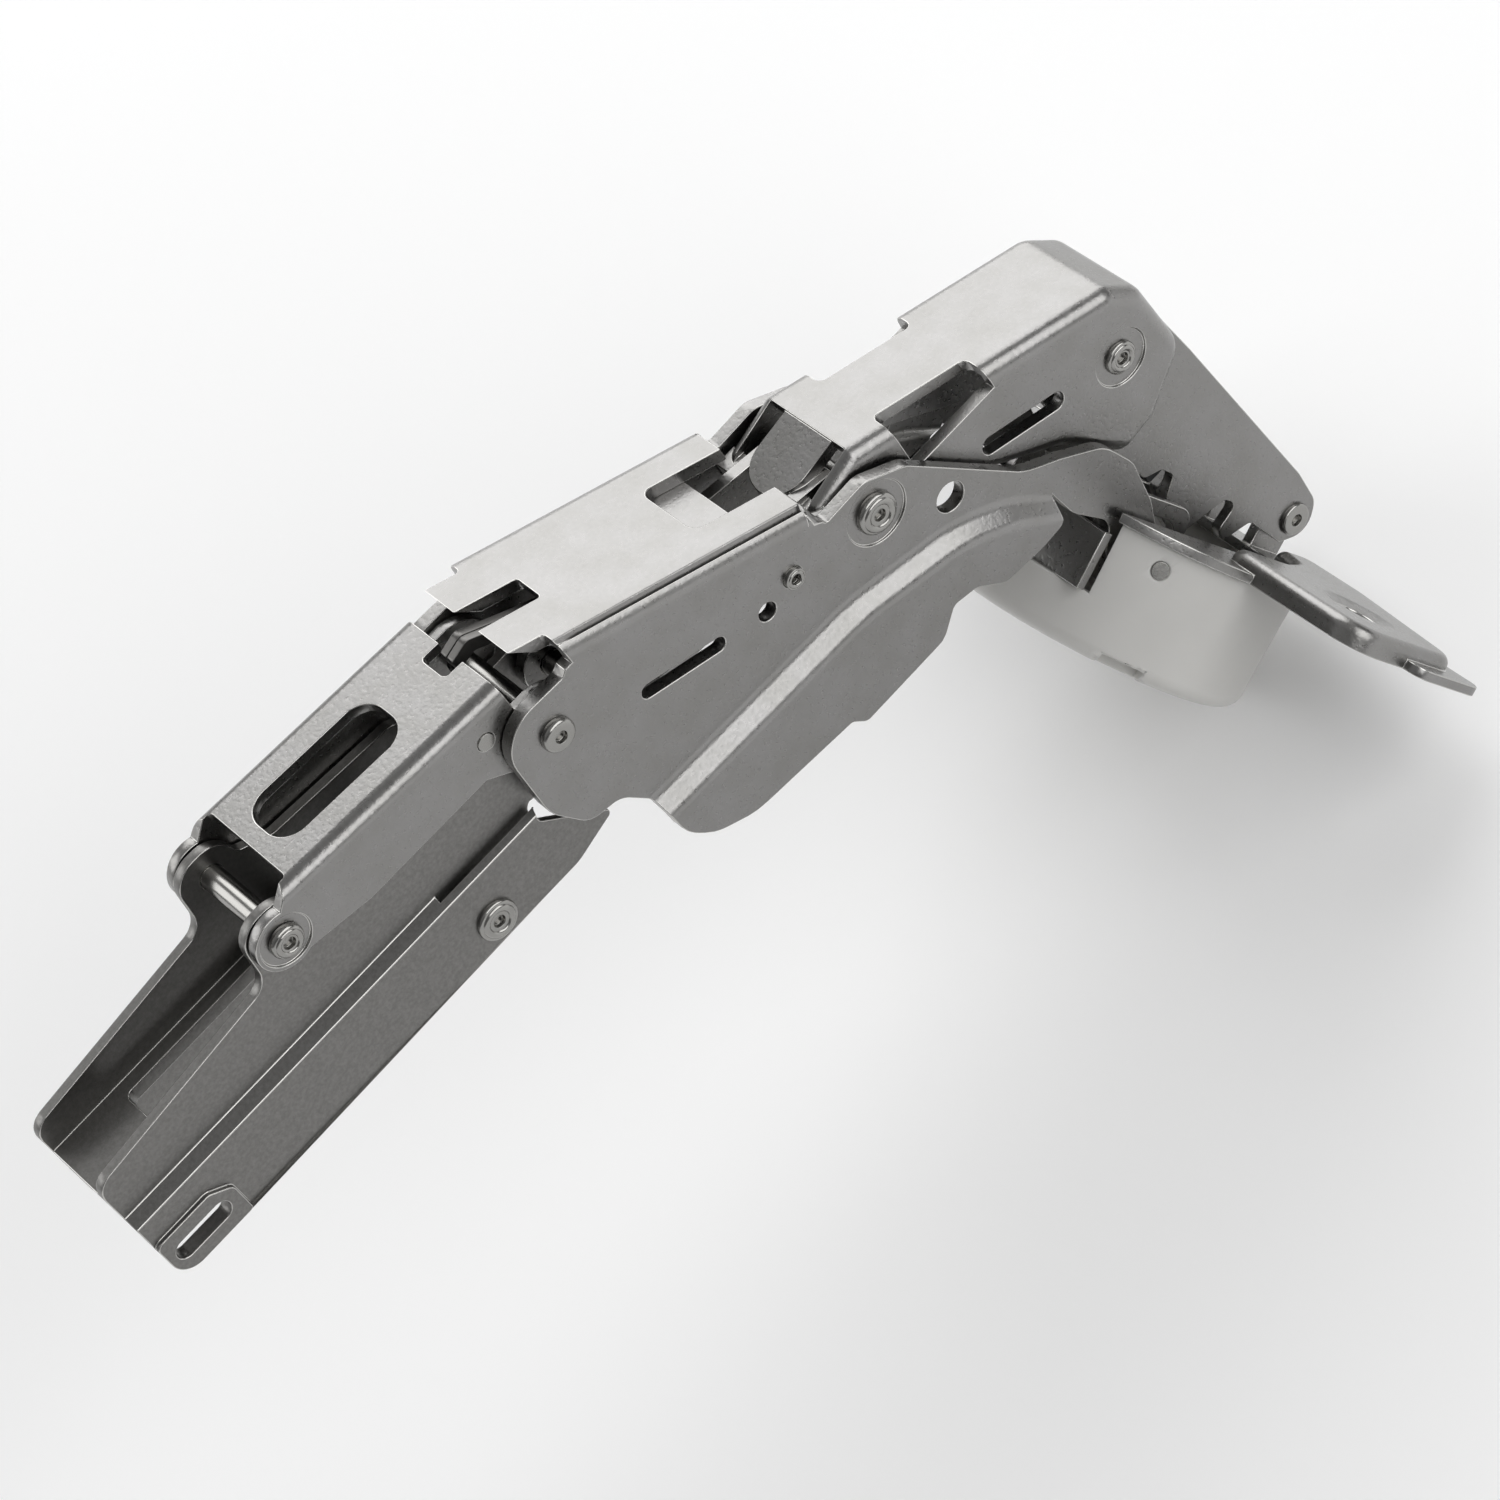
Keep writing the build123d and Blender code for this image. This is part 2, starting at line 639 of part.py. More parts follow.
def leaf_spring(low):
    """One leaf on edge: from the box link's notch down under the spring plate."""
    seat = LEVER_SHEET * 1.09 + SPRING_SHEET
    rear = TOP_REAR_X + SPRING_SLOT_LENGTH + 1.0
    front = TOP_FRONT_X - 12.0
    tail_x = BOX_FRONT_X - 0.7
    tail_z = box_top_z(tail_x)
    depth = 1.7
    face = outline(
        [
            (tail_x, tail_z - 0.2),
            (tail_x + 2.2, tail_z + 0.5),
            (rear - 3.0, lever_top_z(rear) - seat + 1.6),
            (rear, lever_top_z(rear) - seat),
            (front, lever_top_z(front) - seat),
            (front, lever_top_z(front) - seat - depth),
            (rear, lever_top_z(rear) - seat - depth),
            (rear - 4.0, lever_top_z(rear) - seat + 0.3),
            (tail_x + 2.4, tail_z - 1.2),
            (tail_x, tail_z - 1.6),
        ],
        [0.4, 1.0, 1.5, 0.0, 0.3, 0.3, 1.5, 1.5, 1.0, 0.4],
    )
    return slab(face, low, low + SPRING_SHEET)


def inner_top_z(x):
    """Underside rule for the inner lever's sloped top face, as its outer height."""
    slope = -0.345
    return CROSS[1] + 5.5 + slope * (x - INNER_TOP_REAR)


def inner_lever():
    """Crossed inner lever: folded front half, tongue, and a narrow leg to the arm."""
    nose_x = LINK[0] + 5.4
    side = [
        shift(CROSS, -4.6, 3.6),
        (INNER_TOP_REAR, inner_top_z(INNER_TOP_REAR)),
        (nose_x - 3.0, inner_top_z(nose_x - 3.0)),
        (nose_x, inner_top_z(nose_x - 3.0) - 3.4),
        (LINK[0] + 6.4, LINK[1] - 5.6),
        (LINK[0] + 0.2, LINK[1] - NOSE_DROP),
        (LINK[0] - 4.4, LINK[1] - NOSE_DROP - 0.6),
        (LINK[0] - 9.5, LINK[1] - 3.4),
        shift(CROSS, 6.0, -6.0),
        shift(CROSS, -1.0, -4.6),
        shift(CROSS, -5.4, -2.0),
    ]
    radii = [1.5, 0.5, 2.8, 2.5, 3.0, 3.0, 2.0, 6.0, 6.0, 3.0, 1.5]
    block = slab(outline(side, radii), -INNER_Y, INNER_Y)
    middle = (INNER_TOP_REAR + nose_x) / 2
    bends = block.edges().filter_by(
        lambda edge: edge.length > 15.0
        and abs(edge.center().Z - inner_top_z(middle)) < 2.0
        and abs(edge.center().Y) > INNER_Y - 0.1
    )
    block = fillet(bends, INNER_BEND_R)
    drop = INNER_SHEET * 1.06
    inside = make_face(
        Polyline(
            (INNER_TOP_REAR - 30.0, -80.0),
            (nose_x - INNER_SHEET, -80.0),
            (nose_x - INNER_SHEET, inner_top_z(nose_x - 3.0) - 3.4),
            (nose_x - 3.4, inner_top_z(nose_x - 3.4) - drop),
            (INNER_TOP_REAR, inner_top_z(INNER_TOP_REAR) - drop),
            (INNER_TOP_REAR, 40.0),
            (INNER_TOP_REAR - 30.0, 40.0),
            close=True,
        )
    )
    body = block - slab(inside, -INNER_IN_Y, INNER_IN_Y)
    nose_low = inner_top_z(nose_x - 3.0) - 4.6
    body -= Pos(nose_x, 0, nose_low - 20.0) * Box(12.0, 2 * INNER_IN_Y, 40.0)
    cut_low = CROSS[1] - 2.0
    for sign in (-1, 1):
        low = min(sign * (TONGUE_WIDTH / 2 + 0.4), sign * (INNER_Y + 2.0))
        high = max(sign * (TONGUE_WIDTH / 2 + 0.4), sign * (INNER_Y + 2.0))
        body -= top_cut(CROSS[0] + 6.1, CROSS[0] + 16.6, low, high, cut_low, 40.0, 0.8)
    rise = inner_top_z(INNER_TOP_REAR)
    tip_x = INNER_TOP_REAR - TONGUE_LENGTH
    tongue_side = make_face(
        Polyline(
            (INNER_TOP_REAR + 0.6, inner_top_z(INNER_TOP_REAR + 0.6)),
            (INNER_TOP_REAR + 0.6, inner_top_z(INNER_TOP_REAR + 0.6) - drop),
            (tip_x, rise - 1.6 - INNER_SHEET),
            (tip_x, rise - 1.6),
            close=True,
        )
    )
    half = TONGUE_WIDTH / 2
    tongue = slab(tongue_side, -half, half)
    plan = top_cut(tip_x, INNER_TOP_REAR + 6.0, -half, half, -20.0, 40.0, half - 0.05)
    body += tongue & plan
    leg = strap(FRONT, LEG_R, CROSS, LEG_R)
    keep = Pos((FRONT[0] + CROSS[0]) / 2 - 10.0, 0, FRONT[1]) * Box(LEVER_REACH + 14.0, 40, 60)
    leg_body = pair(leg, LEG_IN_Y, LEG_Y) & keep
    body += leg_body
    web_x = CROSS[0] - 4.4
    web = make_face(
        Polyline(
            (web_x - 1.2, CROSS[1] - 1.9),
            (web_x + 1.2, CROSS[1] - 1.9),
            (web_x + 1.2, CROSS[1] + 3.2),
            (web_x - 1.2, CROSS[1] + 3.2),
            close=True,
        )
    )
    body += pair(web, LEG_IN_Y, INNER_Y)
    slot = slot_face(shift(LINK, -15.4, 4.8), shift(LINK, -7.8, 2.4), 2.0)
    body -= slab(slot, -INNER_Y - 3.0, INNER_Y + 3.0)
    body -= bore(FRONT, PIN_R + RUN_GAP)
    body -= bore(CROSS, CROSS_R + RUN_GAP)
    body -= bore(LINK, PIN_R + SNUG_GAP)
    body -= pair(disc(LINK, HEAD_R + 1.3), INNER_Y - DISH_DEPTH, INNER_Y + 1.0)
    return body


def cup_link_rivet():
    return rivet(LINK, PIN_R, INNER_Y - DISH_DEPTH, HEAD_R, HEAD_H)


def cup_link():
    """Folded link between the inner lever and the cup, with notched lower edges."""
    side = [
        shift(LINK, -4.6, 3.0),
        shift(LINK, 2.0, 4.2),
        shift(LINK, 5.6, 0.5),
        shift(LINK, 7.1, -8.3),
        shift(CUP, 2.9, 4.2),
        shift(CUP, 3.0, -0.6),
        shift(CUP, 0.6, -3.2),
        shift(CUP, -2.6, -1.0),
        shift(CUP, -4.2, 4.6),
        shift(CUP, -7.8, 5.8),
        shift(CUP, -7.4, 7.4),
        shift(CUP, -4.4, 8.2),
        shift(CUP, -5.4, 10.0),
        shift(CUP, -11.8, 11.4),
        shift(CUP, -12.0, 15.4),
        shift(CUP, -8.6, 18.4),
        shift(CUP, -9.4, 20.2),
        shift(CUP, -11.4, 21.2),
        shift(LINK, -4.6, -12.0),
        shift(LINK, -5.6, -5.0),
    ]
    radii = [3.0, 2.5, 2.5, 3.0, 0.8, 2.4, 2.4, 1.2, 0.8, 0.6, 0.6, 0.9, 0.9, 1.0, 1.5, 0.6, 0.6, 0.8, 2.0, 3.0]
    block = slab(outline(side, radii), -CUP_LINK_Y, CUP_LINK_Y)
    back = shift(LINK, 7.1 - LINK_SHEET, -8.3)
    heel = shift(CUP, 2.9 - LINK_SHEET, 10.0)
    inside = make_face(
        Polyline(
            shift(LINK, -30.0, 20.0),
            shift(LINK, 30.0, 20.0),
            shift(LINK, 30.0, -7.0),
            shift(back, -1.0, 1.3),
            back,
            heel,
            shift(CUP, 30.0, 10.0),
            shift(CUP, 30.0, -20.0),
            shift(CUP, -60.0, -20.0),
            close=True,
        )
    )
    body = block - slab(inside, -CUP_LINK_IN_Y, CUP_LINK_IN_Y)
    body -= bore(LINK, PIN_R + RUN_GAP)
    body -= bore(CUP, PIN_R + SNUG_GAP)
    return body


def buffer_block():
    """Plastic stop block carried between the cup link's sides."""
    seat = shift(CUP, -7.6, 21.2)
    face = outline(
        [
            shift(seat, -3.4, -2.6),
            shift(seat, 2.8, -2.6),
            shift(seat, 3.4, 2.8),
            shift(seat, -2.6, 3.0),
        ],
        0.6,
    )
    return slab(face, -CUP_LINK_IN_Y, CUP_LINK_IN_Y)


def cup_pin():
    return rivet(CUP, PIN_R, CUP_LINK_Y, HEAD_R, HEAD_H)


def cup_block(x_low, x_high, y_low, y_high, z_low, z_high):
    """A block in the cup's frame, before it is placed."""
    size = Box(x_high - x_low, y_high - y_low, z_high - z_low)
    return Pos((x_low + x_high) / 2, (y_low + y_high) / 2, (z_low + z_high) / 2) * size


def wing_plan():
    """Plan of the raised screw wing on the positive side, in the cup's frame."""
    near = SCREW_OFFSET - WING_PLATE_WIDTH / 2
    far = SCREW_OFFSET + WING_PLATE_WIDTH / 2
    reach = FLANGE_LENGTH / 2
    heel = CUP_OFFSET + 2.8
    inner = EAR_Y + 3.0
    points = [
        (near, WING_ROOT),
        (near, reach),
        (far - 1.4, reach),
        (heel, WING_ROOT + 2.2),
        (heel, inner),
        (CUP_OFFSET - 2.4, inner),
        (CUP_OFFSET - 3.4, MOUTH_HALF_WIDTH + 0.9),
        (SCREW_OFFSET, WING_ROOT),
    ]
    return outline(points, [2.2, 4.0, 3.4, 6.0, 2.0, 1.4, 2.0, 4.0])


def flange_wing():
    """One screw wing: a shallow tray with a turned-down rim and a flat end tongue."""
    plan = wing_plan()
    tray = extrude(plan, amount=WING_PLATE_HEIGHT)
    rim = tray.faces().sort_by(Axis.Z)[-1].edges()
    tray = fillet(rim, FLANGE_BEND_R)
    tongue_low = SCREW_OFFSET - 0.6
    tongue_high = SCREW_OFFSET + WING_PLATE_WIDTH / 2 + 1.2
    reach = FLANGE_LENGTH / 2
    tongue = top_cut(tongue_low, tongue_high, reach - 6.0, reach + TONGUE_REACH, 0.0, FLANGE_SHEET, 1.8)
    return tray + tongue - wing_hollow() - wing_hole()


def wing_hollow():
    inside = offset(wing_plan(), amount=-FLANGE_SHEET)
    return extrude(Pos(0, 0, -1.0) * inside, amount=WING_PLATE_HEIGHT - FLANGE_SHEET + 1.0)


def wing_hole():
    """Screw hole with a dished mouth."""
    seat = Pos(SCREW_OFFSET, SCREW_SPACING / 2)
    dish_depth = FLANGE_SHEET * 0.5
    dish = Pos(0, 0, WING_PLATE_HEIGHT - dish_depth / 2) * Cone(SCREW_R, SCREW_HEAD_R, dish_depth)
    return seat * (extrude(Circle(SCREW_R), amount=WING_PLATE_HEIGHT + 1.0) + dish)


def cup_flange():
    """Pressed steel flange: open ring, two screw wings and the pivot ears."""
    ring = extrude(Circle(FLANGE_R), amount=FLANGE_SHEET)
    ring -= cup_block(
        -FLANGE_R - 5.0,
        CUP_OFFSET - 3.0,
        -MOUTH_HALF_WIDTH,
        MOUTH_HALF_WIDTH,
        -1.0,
        FLANGE_SHEET + 1.0,
    )
    hollow = wing_hollow()
    wing = flange_wing()
    ring = ring - hollow - mirror(hollow, Plane.XZ)
    ring = ring + wing + mirror(wing, Plane.XZ)
    ear_root = Pos(CUP_OFFSET, FLANGE_SHEET / 2) * Rectangle(4.6, FLANGE_SHEET)
    ear = make_hull(ear_root.edges() + disc((CUP_OFFSET, CUP_RISE), PIN_R + 1.15).edges())
    ring += pair(ear, EAR_IN_Y, EAR_Y)
    ring -= slab(disc((CUP_OFFSET, CUP_RISE), PIN_R + RUN_GAP), -20.0, 20.0)
    return CUP_PLANE.location * ring


def pin_drift():
    """Where the finger pin runs in the cup's frame as the hinge closes, from rest."""
    steps = 24
    path = []
    for step in range(steps + 1):
        share = step / steps
        box = BOX_TRAVEL * share
        link = LINK_TURN * share
        cup = OPEN_ANGLE * share
        to_link = turned(INNER_REACH, -INNER_DROP, box)
        to_cup = turned(LINK_REACH, -LINK_DROP, link)
        back = turned(FINGER[0] - CUP[0], FINGER[1] - CUP[1], cup)
        gap_x = FINGER_REACH - to_link[0] - to_cup[0] - back[0]
        gap_z = -FINGER_DROP - to_link[1] - to_cup[1] - back[1]
        local = turned(gap_x, gap_z, -cup)
        across = local[0] * CUP_ACROSS[0] + local[1] * CUP_ACROSS[1]
        out = local[0] * CUP_OUT[0] + local[1] * CUP_OUT[1]
        path.append((across, out))
    return path


def pivot_bracket():
    """Steel bracket in the cup's open side, with slotted ears for the finger pin."""
    path = pin_drift()
    low_a = FINGER_ACROSS + min(p[0] for p in path)
    high_a = FINGER_ACROSS + max(p[0] for p in path)
    low_o = FINGER_OUT + min(p[1] for p in path)
    high_o = FINGER_OUT + max(p[1] for p in path)
    room = PIN_R + 0.25
    rim = 1.7
    apron_a = -CUP_R + APRON_SETBACK
    ear = outline(
        [
            (apron_a, low_o - room - rim - 1.0),
            (high_a + room + rim, low_o - room - rim - 1.0),
            (high_a + room + rim, high_o + room + rim),
            (low_a - room - rim, high_o + room + rim),
            (low_a - room - rim, FINGER_OUT - 2.2),
            (apron_a, FINGER_OUT - 2.2),
        ],
        [0.0, 2.0, 2.0, 1.0, 0.5, 0.0],
    )
    window = Pos((low_a + high_a) / 2, (low_o + high_o) / 2) * RectangleRounded(
        high_a - low_a + 2 * room, high_o - low_o + 2 * room, room
    )
    body = pair(ear, BRACKET_IN_Y, BRACKET_Y) - slab(window, -20.0, 20.0)
    body += cup_block(
        apron_a - BRACKET_SHEET,
        apron_a,
        -MOUTH_HALF_WIDTH + 0.2,
        MOUTH_HALF_WIDTH - 0.2,
        -APRON_LOW,
        -APRON_HIGH,
    )
    return CUP_PLANE.location * body


def peg_bars(radius, depth):
    """Short radial bars sunk into the cup's wall, one on each side of the mouth."""
    bars = [
        Rot(0, 0, sign * PEG_ANGLE)
        * Pos(CUP_R + CUP_DRAFT - depth / 2, 0, -PEG_DROP)
        * Rot(0, 90, 0)
        * Cylinder(radius, depth)
        for sign in (-1, 1)
    ]
    return bars[0] + bars[1]


def damper_housing():
    """Milky plastic cup: open mouth, and a cut-away side for the fingers."""
    shell = extrude(Pos(0, 0, -CUP_DEPTH) * Circle(CUP_R), amount=CUP_DEPTH - APRON_LOW)
    upright = (Align.CENTER, Align.CENTER, Align.MIN)
    shell += Pos(0, 0, -APRON_LOW) * Cone(CUP_R, CUP_R + CUP_DRAFT, APRON_LOW, align=upright)
    base = shell.faces().sort_by(Axis.Z)[0].edges()
    shell = fillet(base, CUP_BASE_R)
    inside = extrude(
        Pos(0, 0, -CUP_DEPTH + CUP_WALL) * Circle(CUP_R - CUP_WALL), amount=CUP_DEPTH + 1.0
    )
    shell -= inside
    shell -= cup_block(
        -CUP_R - 5.0, -6.0, -MOUTH_HALF_WIDTH, MOUTH_HALF_WIDTH, -APRON_LOW, 5.0
    )
    shell -= peg_bars(PEG_R + SNUG_GAP, PEG_DEPTH)
    for sign in (-1, 1):
        nick = Pos(CUP_R, 0, -CUP_DEPTH) * Box(5.0, NICK_WIDTH, 2 * NICK_HEIGHT)
        shell -= Rot(0, 0, sign * (PEG_ANGLE - 4.0)) * nick
    return CUP_PLANE.location * shell


def damper_cartridge(across):
    """Sealed oil damper lying on the cup's floor."""
    height = -CUP_DEPTH + CUP_WALL + DAMPER_R + 0.05
    half = DAMPER_LENGTH / 2
    barrel = slab(disc((across, height), DAMPER_R), -half, half)
    tip = slab(disc((across, height), DAMPER_R * 0.5), half, half + 1.6)
    return CUP_PLANE.location * (barrel + tip)


def bracket_pegs():
    """Small steel pegs in the cup's wall, just proud of their pockets' floors."""
    return CUP_PLANE.location * peg_bars(PEG_R, PEG_DEPTH)


def build_parts():
    return {
        "hinge_arm": hinge_arm(),
        "arm_rear_pin": arm_rear_pin(),
        "arm_front_pin": arm_front_pin(),
        "plate_hook_rivet": plate_hook_rivet(),
        "box_link": box_link(),
        "link_stop_rivets": link_stop_rivets(),
        "main_lever": main_lever(),
        "lever_rear_pin": lever_rear_pin(),
        "crossing_rivet": crossing_rivet(),
        "side_rivets": side_rivets(),
        "finger_pin": finger_pin(),
        "spring_plate": spring_plate(),
        "leaf_spring_near": leaf_spring(-SPRING_SHEET - 0.05),
        "leaf_spring_far": leaf_spring(0.05),
        "inner_lever": inner_lever(),
        "cup_link_rivet": cup_link_rivet(),
        "cup_link": cup_link(),
        "buffer_block": buffer_block(),
        "cup_pin": cup_pin(),
        "cup_flange": cup_flange(),
        "pivot_bracket": pivot_bracket(),
        "damper_housing": damper_housing(),
        "damper_cartridge_inner": damper_cartridge(3.4),
        "damper_cartridge_outer": damper_cartridge(9.2),
        "bracket_pegs": bracket_pegs(),
    }


if __name__ == "__main__":
    os.makedirs("parts", exist_ok=True)
    for name, solid in build_parts().items():
        export_step(solid, os.path.join("parts", name + ".step"))
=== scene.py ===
"""A concealed cabinet hinge, dressed over its CAD frame: plated pressings, a cast arm and a door cup."""

import json
import math

import bmesh
import bpy
from mathutils import Matrix, Vector
from mathutils.bvhtree import BVHTree

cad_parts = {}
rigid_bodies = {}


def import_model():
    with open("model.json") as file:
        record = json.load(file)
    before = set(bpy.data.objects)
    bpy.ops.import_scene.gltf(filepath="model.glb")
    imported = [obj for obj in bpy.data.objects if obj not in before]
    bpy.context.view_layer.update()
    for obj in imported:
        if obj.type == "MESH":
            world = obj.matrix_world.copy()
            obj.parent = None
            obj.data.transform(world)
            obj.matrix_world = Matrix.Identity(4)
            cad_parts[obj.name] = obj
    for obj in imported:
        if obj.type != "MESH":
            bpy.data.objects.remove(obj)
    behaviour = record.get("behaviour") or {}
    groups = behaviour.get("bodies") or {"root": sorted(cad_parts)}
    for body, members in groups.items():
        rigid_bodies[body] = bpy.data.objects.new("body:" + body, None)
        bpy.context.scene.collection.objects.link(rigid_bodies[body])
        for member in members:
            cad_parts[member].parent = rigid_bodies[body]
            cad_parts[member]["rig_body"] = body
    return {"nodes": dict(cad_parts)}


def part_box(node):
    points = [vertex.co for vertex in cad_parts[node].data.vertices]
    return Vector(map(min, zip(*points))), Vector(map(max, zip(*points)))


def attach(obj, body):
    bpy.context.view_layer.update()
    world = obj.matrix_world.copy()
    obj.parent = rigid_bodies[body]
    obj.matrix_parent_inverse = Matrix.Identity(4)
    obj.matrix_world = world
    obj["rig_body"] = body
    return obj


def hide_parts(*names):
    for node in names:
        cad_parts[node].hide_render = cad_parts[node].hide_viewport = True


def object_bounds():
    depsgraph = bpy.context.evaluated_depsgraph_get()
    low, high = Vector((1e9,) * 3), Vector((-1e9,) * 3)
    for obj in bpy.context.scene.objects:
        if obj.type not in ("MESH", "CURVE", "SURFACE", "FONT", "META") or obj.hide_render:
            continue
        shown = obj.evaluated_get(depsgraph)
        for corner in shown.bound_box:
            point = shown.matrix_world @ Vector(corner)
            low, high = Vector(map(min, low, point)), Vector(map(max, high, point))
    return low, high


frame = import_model()
CAD_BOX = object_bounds()

bl_info = {
    "name": "Concealed hinge",
    "version": (1, 0, 0),
    "blender": (4, 5, 0),
    "location": "View3D > Sidebar > Hinge",
    "description": "Builds the looks of a wide-angle concealed cabinet hinge over its CAD frame",
    "category": "Object",
}

MM = 0.001
# Before a piece's edges are rounded: the shortest edge that it keeps (mm), and the turn between two
# faces that still counts as flat (degrees)
PLAIN = (0.03, 0.6)
# Points nearer than this are one
WELD = 0.0005 * MM
# The front corner of the main lever's top, and the point on the fold that it is pulled in to (mm)
LEVER_CORNER = ((60.4, 8.75, 12.8), (60.17, 8.17, 12.26))
# A point this near to a named corner is that corner (mm)
AT_CORNER = 0.03
# The turns between two faces that are rounded (degrees) and the steps that this takes, along a shallow
# fold and along an edge
FOLD_TURNS, FOLD_STEPS = (36.0, 56.0), 5
EDGE_TURNS, EDGE_STEPS = (32.0, 180.0), 2
# A corner that rounding throws further off the old surface than this share of its width is a stray
STRAY = 0.6
# Faces that meet at a larger turn than this keep a crisp edge between them (degrees)
CRISP = 40.0
# A rivet's formed ring: the radius of its middle as a share of the head's, the share of its thickness
# that is sunk in the head, and the facets along it and around its section
RIM_REACH, RIM_SUNK = 0.66, 0.5
RIM_FACETS, RIM_SECTION = 40, 10


def linear(code):
    """An sRGB hex colour as linear RGBA."""
    values = [int(code[i : i + 2], 16) / 255 for i in (1, 3, 5)]
    return tuple(v / 12.92 if v <= 0.04045 else ((v + 0.055) / 1.055) ** 2.4 for v in values) + (1.0,)


def colour(name, description, code):
    """A colour property with its default written as sRGB hex."""
    return bpy.props.FloatVectorProperty(
        name=name, description=description, subtype="COLOR", size=4, min=0.0, max=1.0, default=linear(code)
    )


def length(name, description, millimetres):
    """A length property in metres with its default written in millimetres."""
    return bpy.props.FloatProperty(
        name=name, description=description, subtype="DISTANCE", unit="LENGTH", min=0.0, default=millimetres * MM
    )


def power(name, description, watts):
    """A lamp's power property."""
    return bpy.props.FloatProperty(name=name, description=description, subtype="POWER", min=0.0, default=watts)


class HingeEdges(bpy.types.PropertyGroup):
    """Rounding that pressing, casting and tumbling leave on the edges."""

    pressed: length("Pressed edge", "Rounding along a punched steel edge", 0.10)
    fold: length("Fold", "Rounding along the shallow step of the main lever's wings", 0.6)
    cast: length("Cast edge", "Rounding along an edge of the cast arm", 0.10)
    turned: length("Rivet edge", "Rounding on pins and rivets", 0.06)
    moulded: length("Moulded edge", "Rounding on the plastic pieces", 0.18)
    rim: bpy.props.FloatProperty(
        name="Rivet rim",
        description="Thickness of the ring that forming leaves on a rivet head, as a share of the head's radius",
        min=0.0,
        max=0.3,
        default=0.20,
    )


class HingeFinish(bpy.types.PropertyGroup):
    """Colours of the hinge's materials."""

    nickel_light: colour("Nickel, light", "Light patches of the satin nickel plate", "#929190")
    nickel_dark: colour("Nickel, dark", "Dark patches of the satin nickel plate", "#8D8C8A")
    # Burnished edge wear, painted brighter as a highlight along the rounded edges of the plated pressings and
    # the cast arm
    nickel_edge_painted_highlight: colour("Nickel edge", "Burnished edges of the plated pressings", "#BCBBB8")
    # Painted glint on the raised grains and painted shade in the hollows between them
    zinc_painted_glint: colour("Cast zinc, light", "Grains that catch the light on the cast arm", "#848381")
    zinc_painted_shade: colour("Cast zinc, dark", "Hollows between the grains on the cast arm", "#767573")
    rivet: colour("Rivet", "Bright plated pins and rivets", "#9C9B98")
    spring: colour("Spring steel", "Dark hardened strip", "#6B6A68")
    milky: colour("Cup plastic", "Milky moulded cup", "#CCCBC8")
    black: colour("Buffer plastic", "Black moulded buffer", "#1A1A1B")
    tube: colour("Damper tube", "Drawn tube of the sealed dampers", "#A09F9C")


class HingeStage(bpy.types.PropertyGroup):
    """Floor, lamps and camera."""

    floor: colour("Floor", "Pale studio floor", "#FCFCFC")
    lens: bpy.props.FloatProperty(
        name="Lens", description="Focal length", subtype="DISTANCE_CAMERA", default=129.6
    )
    key: power("Key lamp", "Power of the large softbox behind", 4.6)
    edge: power("Edge lamp", "Power of the small softbox behind, on the arm's side", 1.55)
    front: power("Front lamp", "Power of the wide softbox in front", 5.4)


class HingeSettings(bpy.types.PropertyGroup):
    """All settings of the hinge."""

    edges: bpy.props.PointerProperty(type=HingeEdges)
    finish: bpy.props.PointerProperty(type=HingeFinish)
    stage: bpy.props.PointerProperty(type=HingeStage)


def add(tree, kind, inputs=None, **settings):
    """Adds one node: settings are its attributes, inputs are values or sockets to link, by name or number."""
    node = tree.nodes.new(kind)
    for name, value in settings.items():
        setattr(node, name, value)
    for key, value in (inputs or {}).items():
        if isinstance(value, bpy.types.NodeSocket):
            tree.links.new(value, node.inputs[key])
        else:
            node.inputs[key].default_value = value
    return node


def new_material(name):
    """A new node material with its shader, output and object coordinates."""
    material = bpy.data.materials.new(name)
    material.use_nodes = True
    tree = material.node_tree
    tree.nodes.clear()
    shader = add(tree, "ShaderNodeBsdfPrincipled")
    add(tree, "ShaderNodeOutputMaterial", {"Surface": shader.outputs["BSDF"]})
    place = add(tree, "ShaderNodeTexCoord").outputs["Object"]
    return material, tree, shader, place


def satin_nickel(finish):
    """Nickel plate over pressed steel: a soft sheen with cloudy patches and a very fine peel."""
    material, tree, shader, place = new_material("satin_nickel_on_pressed_steel")
    # Clouds about 4 mm wide from plating; peel is about 0.1 mm, drawn at 0.4 mm so that it shows
    clouds = add(tree, "ShaderNodeTexNoise", {"Vector": place, "Scale": 1 / (4.0 * MM), "Detail": 4.0})
    peel = add(tree, "ShaderNodeTexNoise", {"Vector": place, "Scale": 1 / (0.40 * MM), "Detail": 3.0})
    blend = add(
        tree, "ShaderNodeMapRange", {"Value": clouds.outputs["Fac"], "From Min": 0.35, "From Max": 0.65}
    )
    tone = add(
        tree,
        "ShaderNodeMix",
        {0: blend.outputs["Result"], 6: tuple(finish.nickel_dark), 7: tuple(finish.nickel_light)},
        data_type="RGBA",
    )
    sheen = add(
        tree, "ShaderNodeMapRange", {"Value": peel.outputs["Fac"], "To Min": 0.20, "To Max": 0.40}
    )
    bump = add(tree, "ShaderNodeBump", {"Height": peel.outputs["Fac"], "Strength": 0.45, "Distance": 0.06 * MM})
    tree.links.new(tone.outputs[2], shader.inputs["Base Color"])
    tree.links.new(sheen.outputs["Result"], shader.inputs["Roughness"])
    tree.links.new(bump.outputs["Normal"], shader.inputs["Normal"])
    shader.inputs["Metallic"].default_value = 1.0
    return material


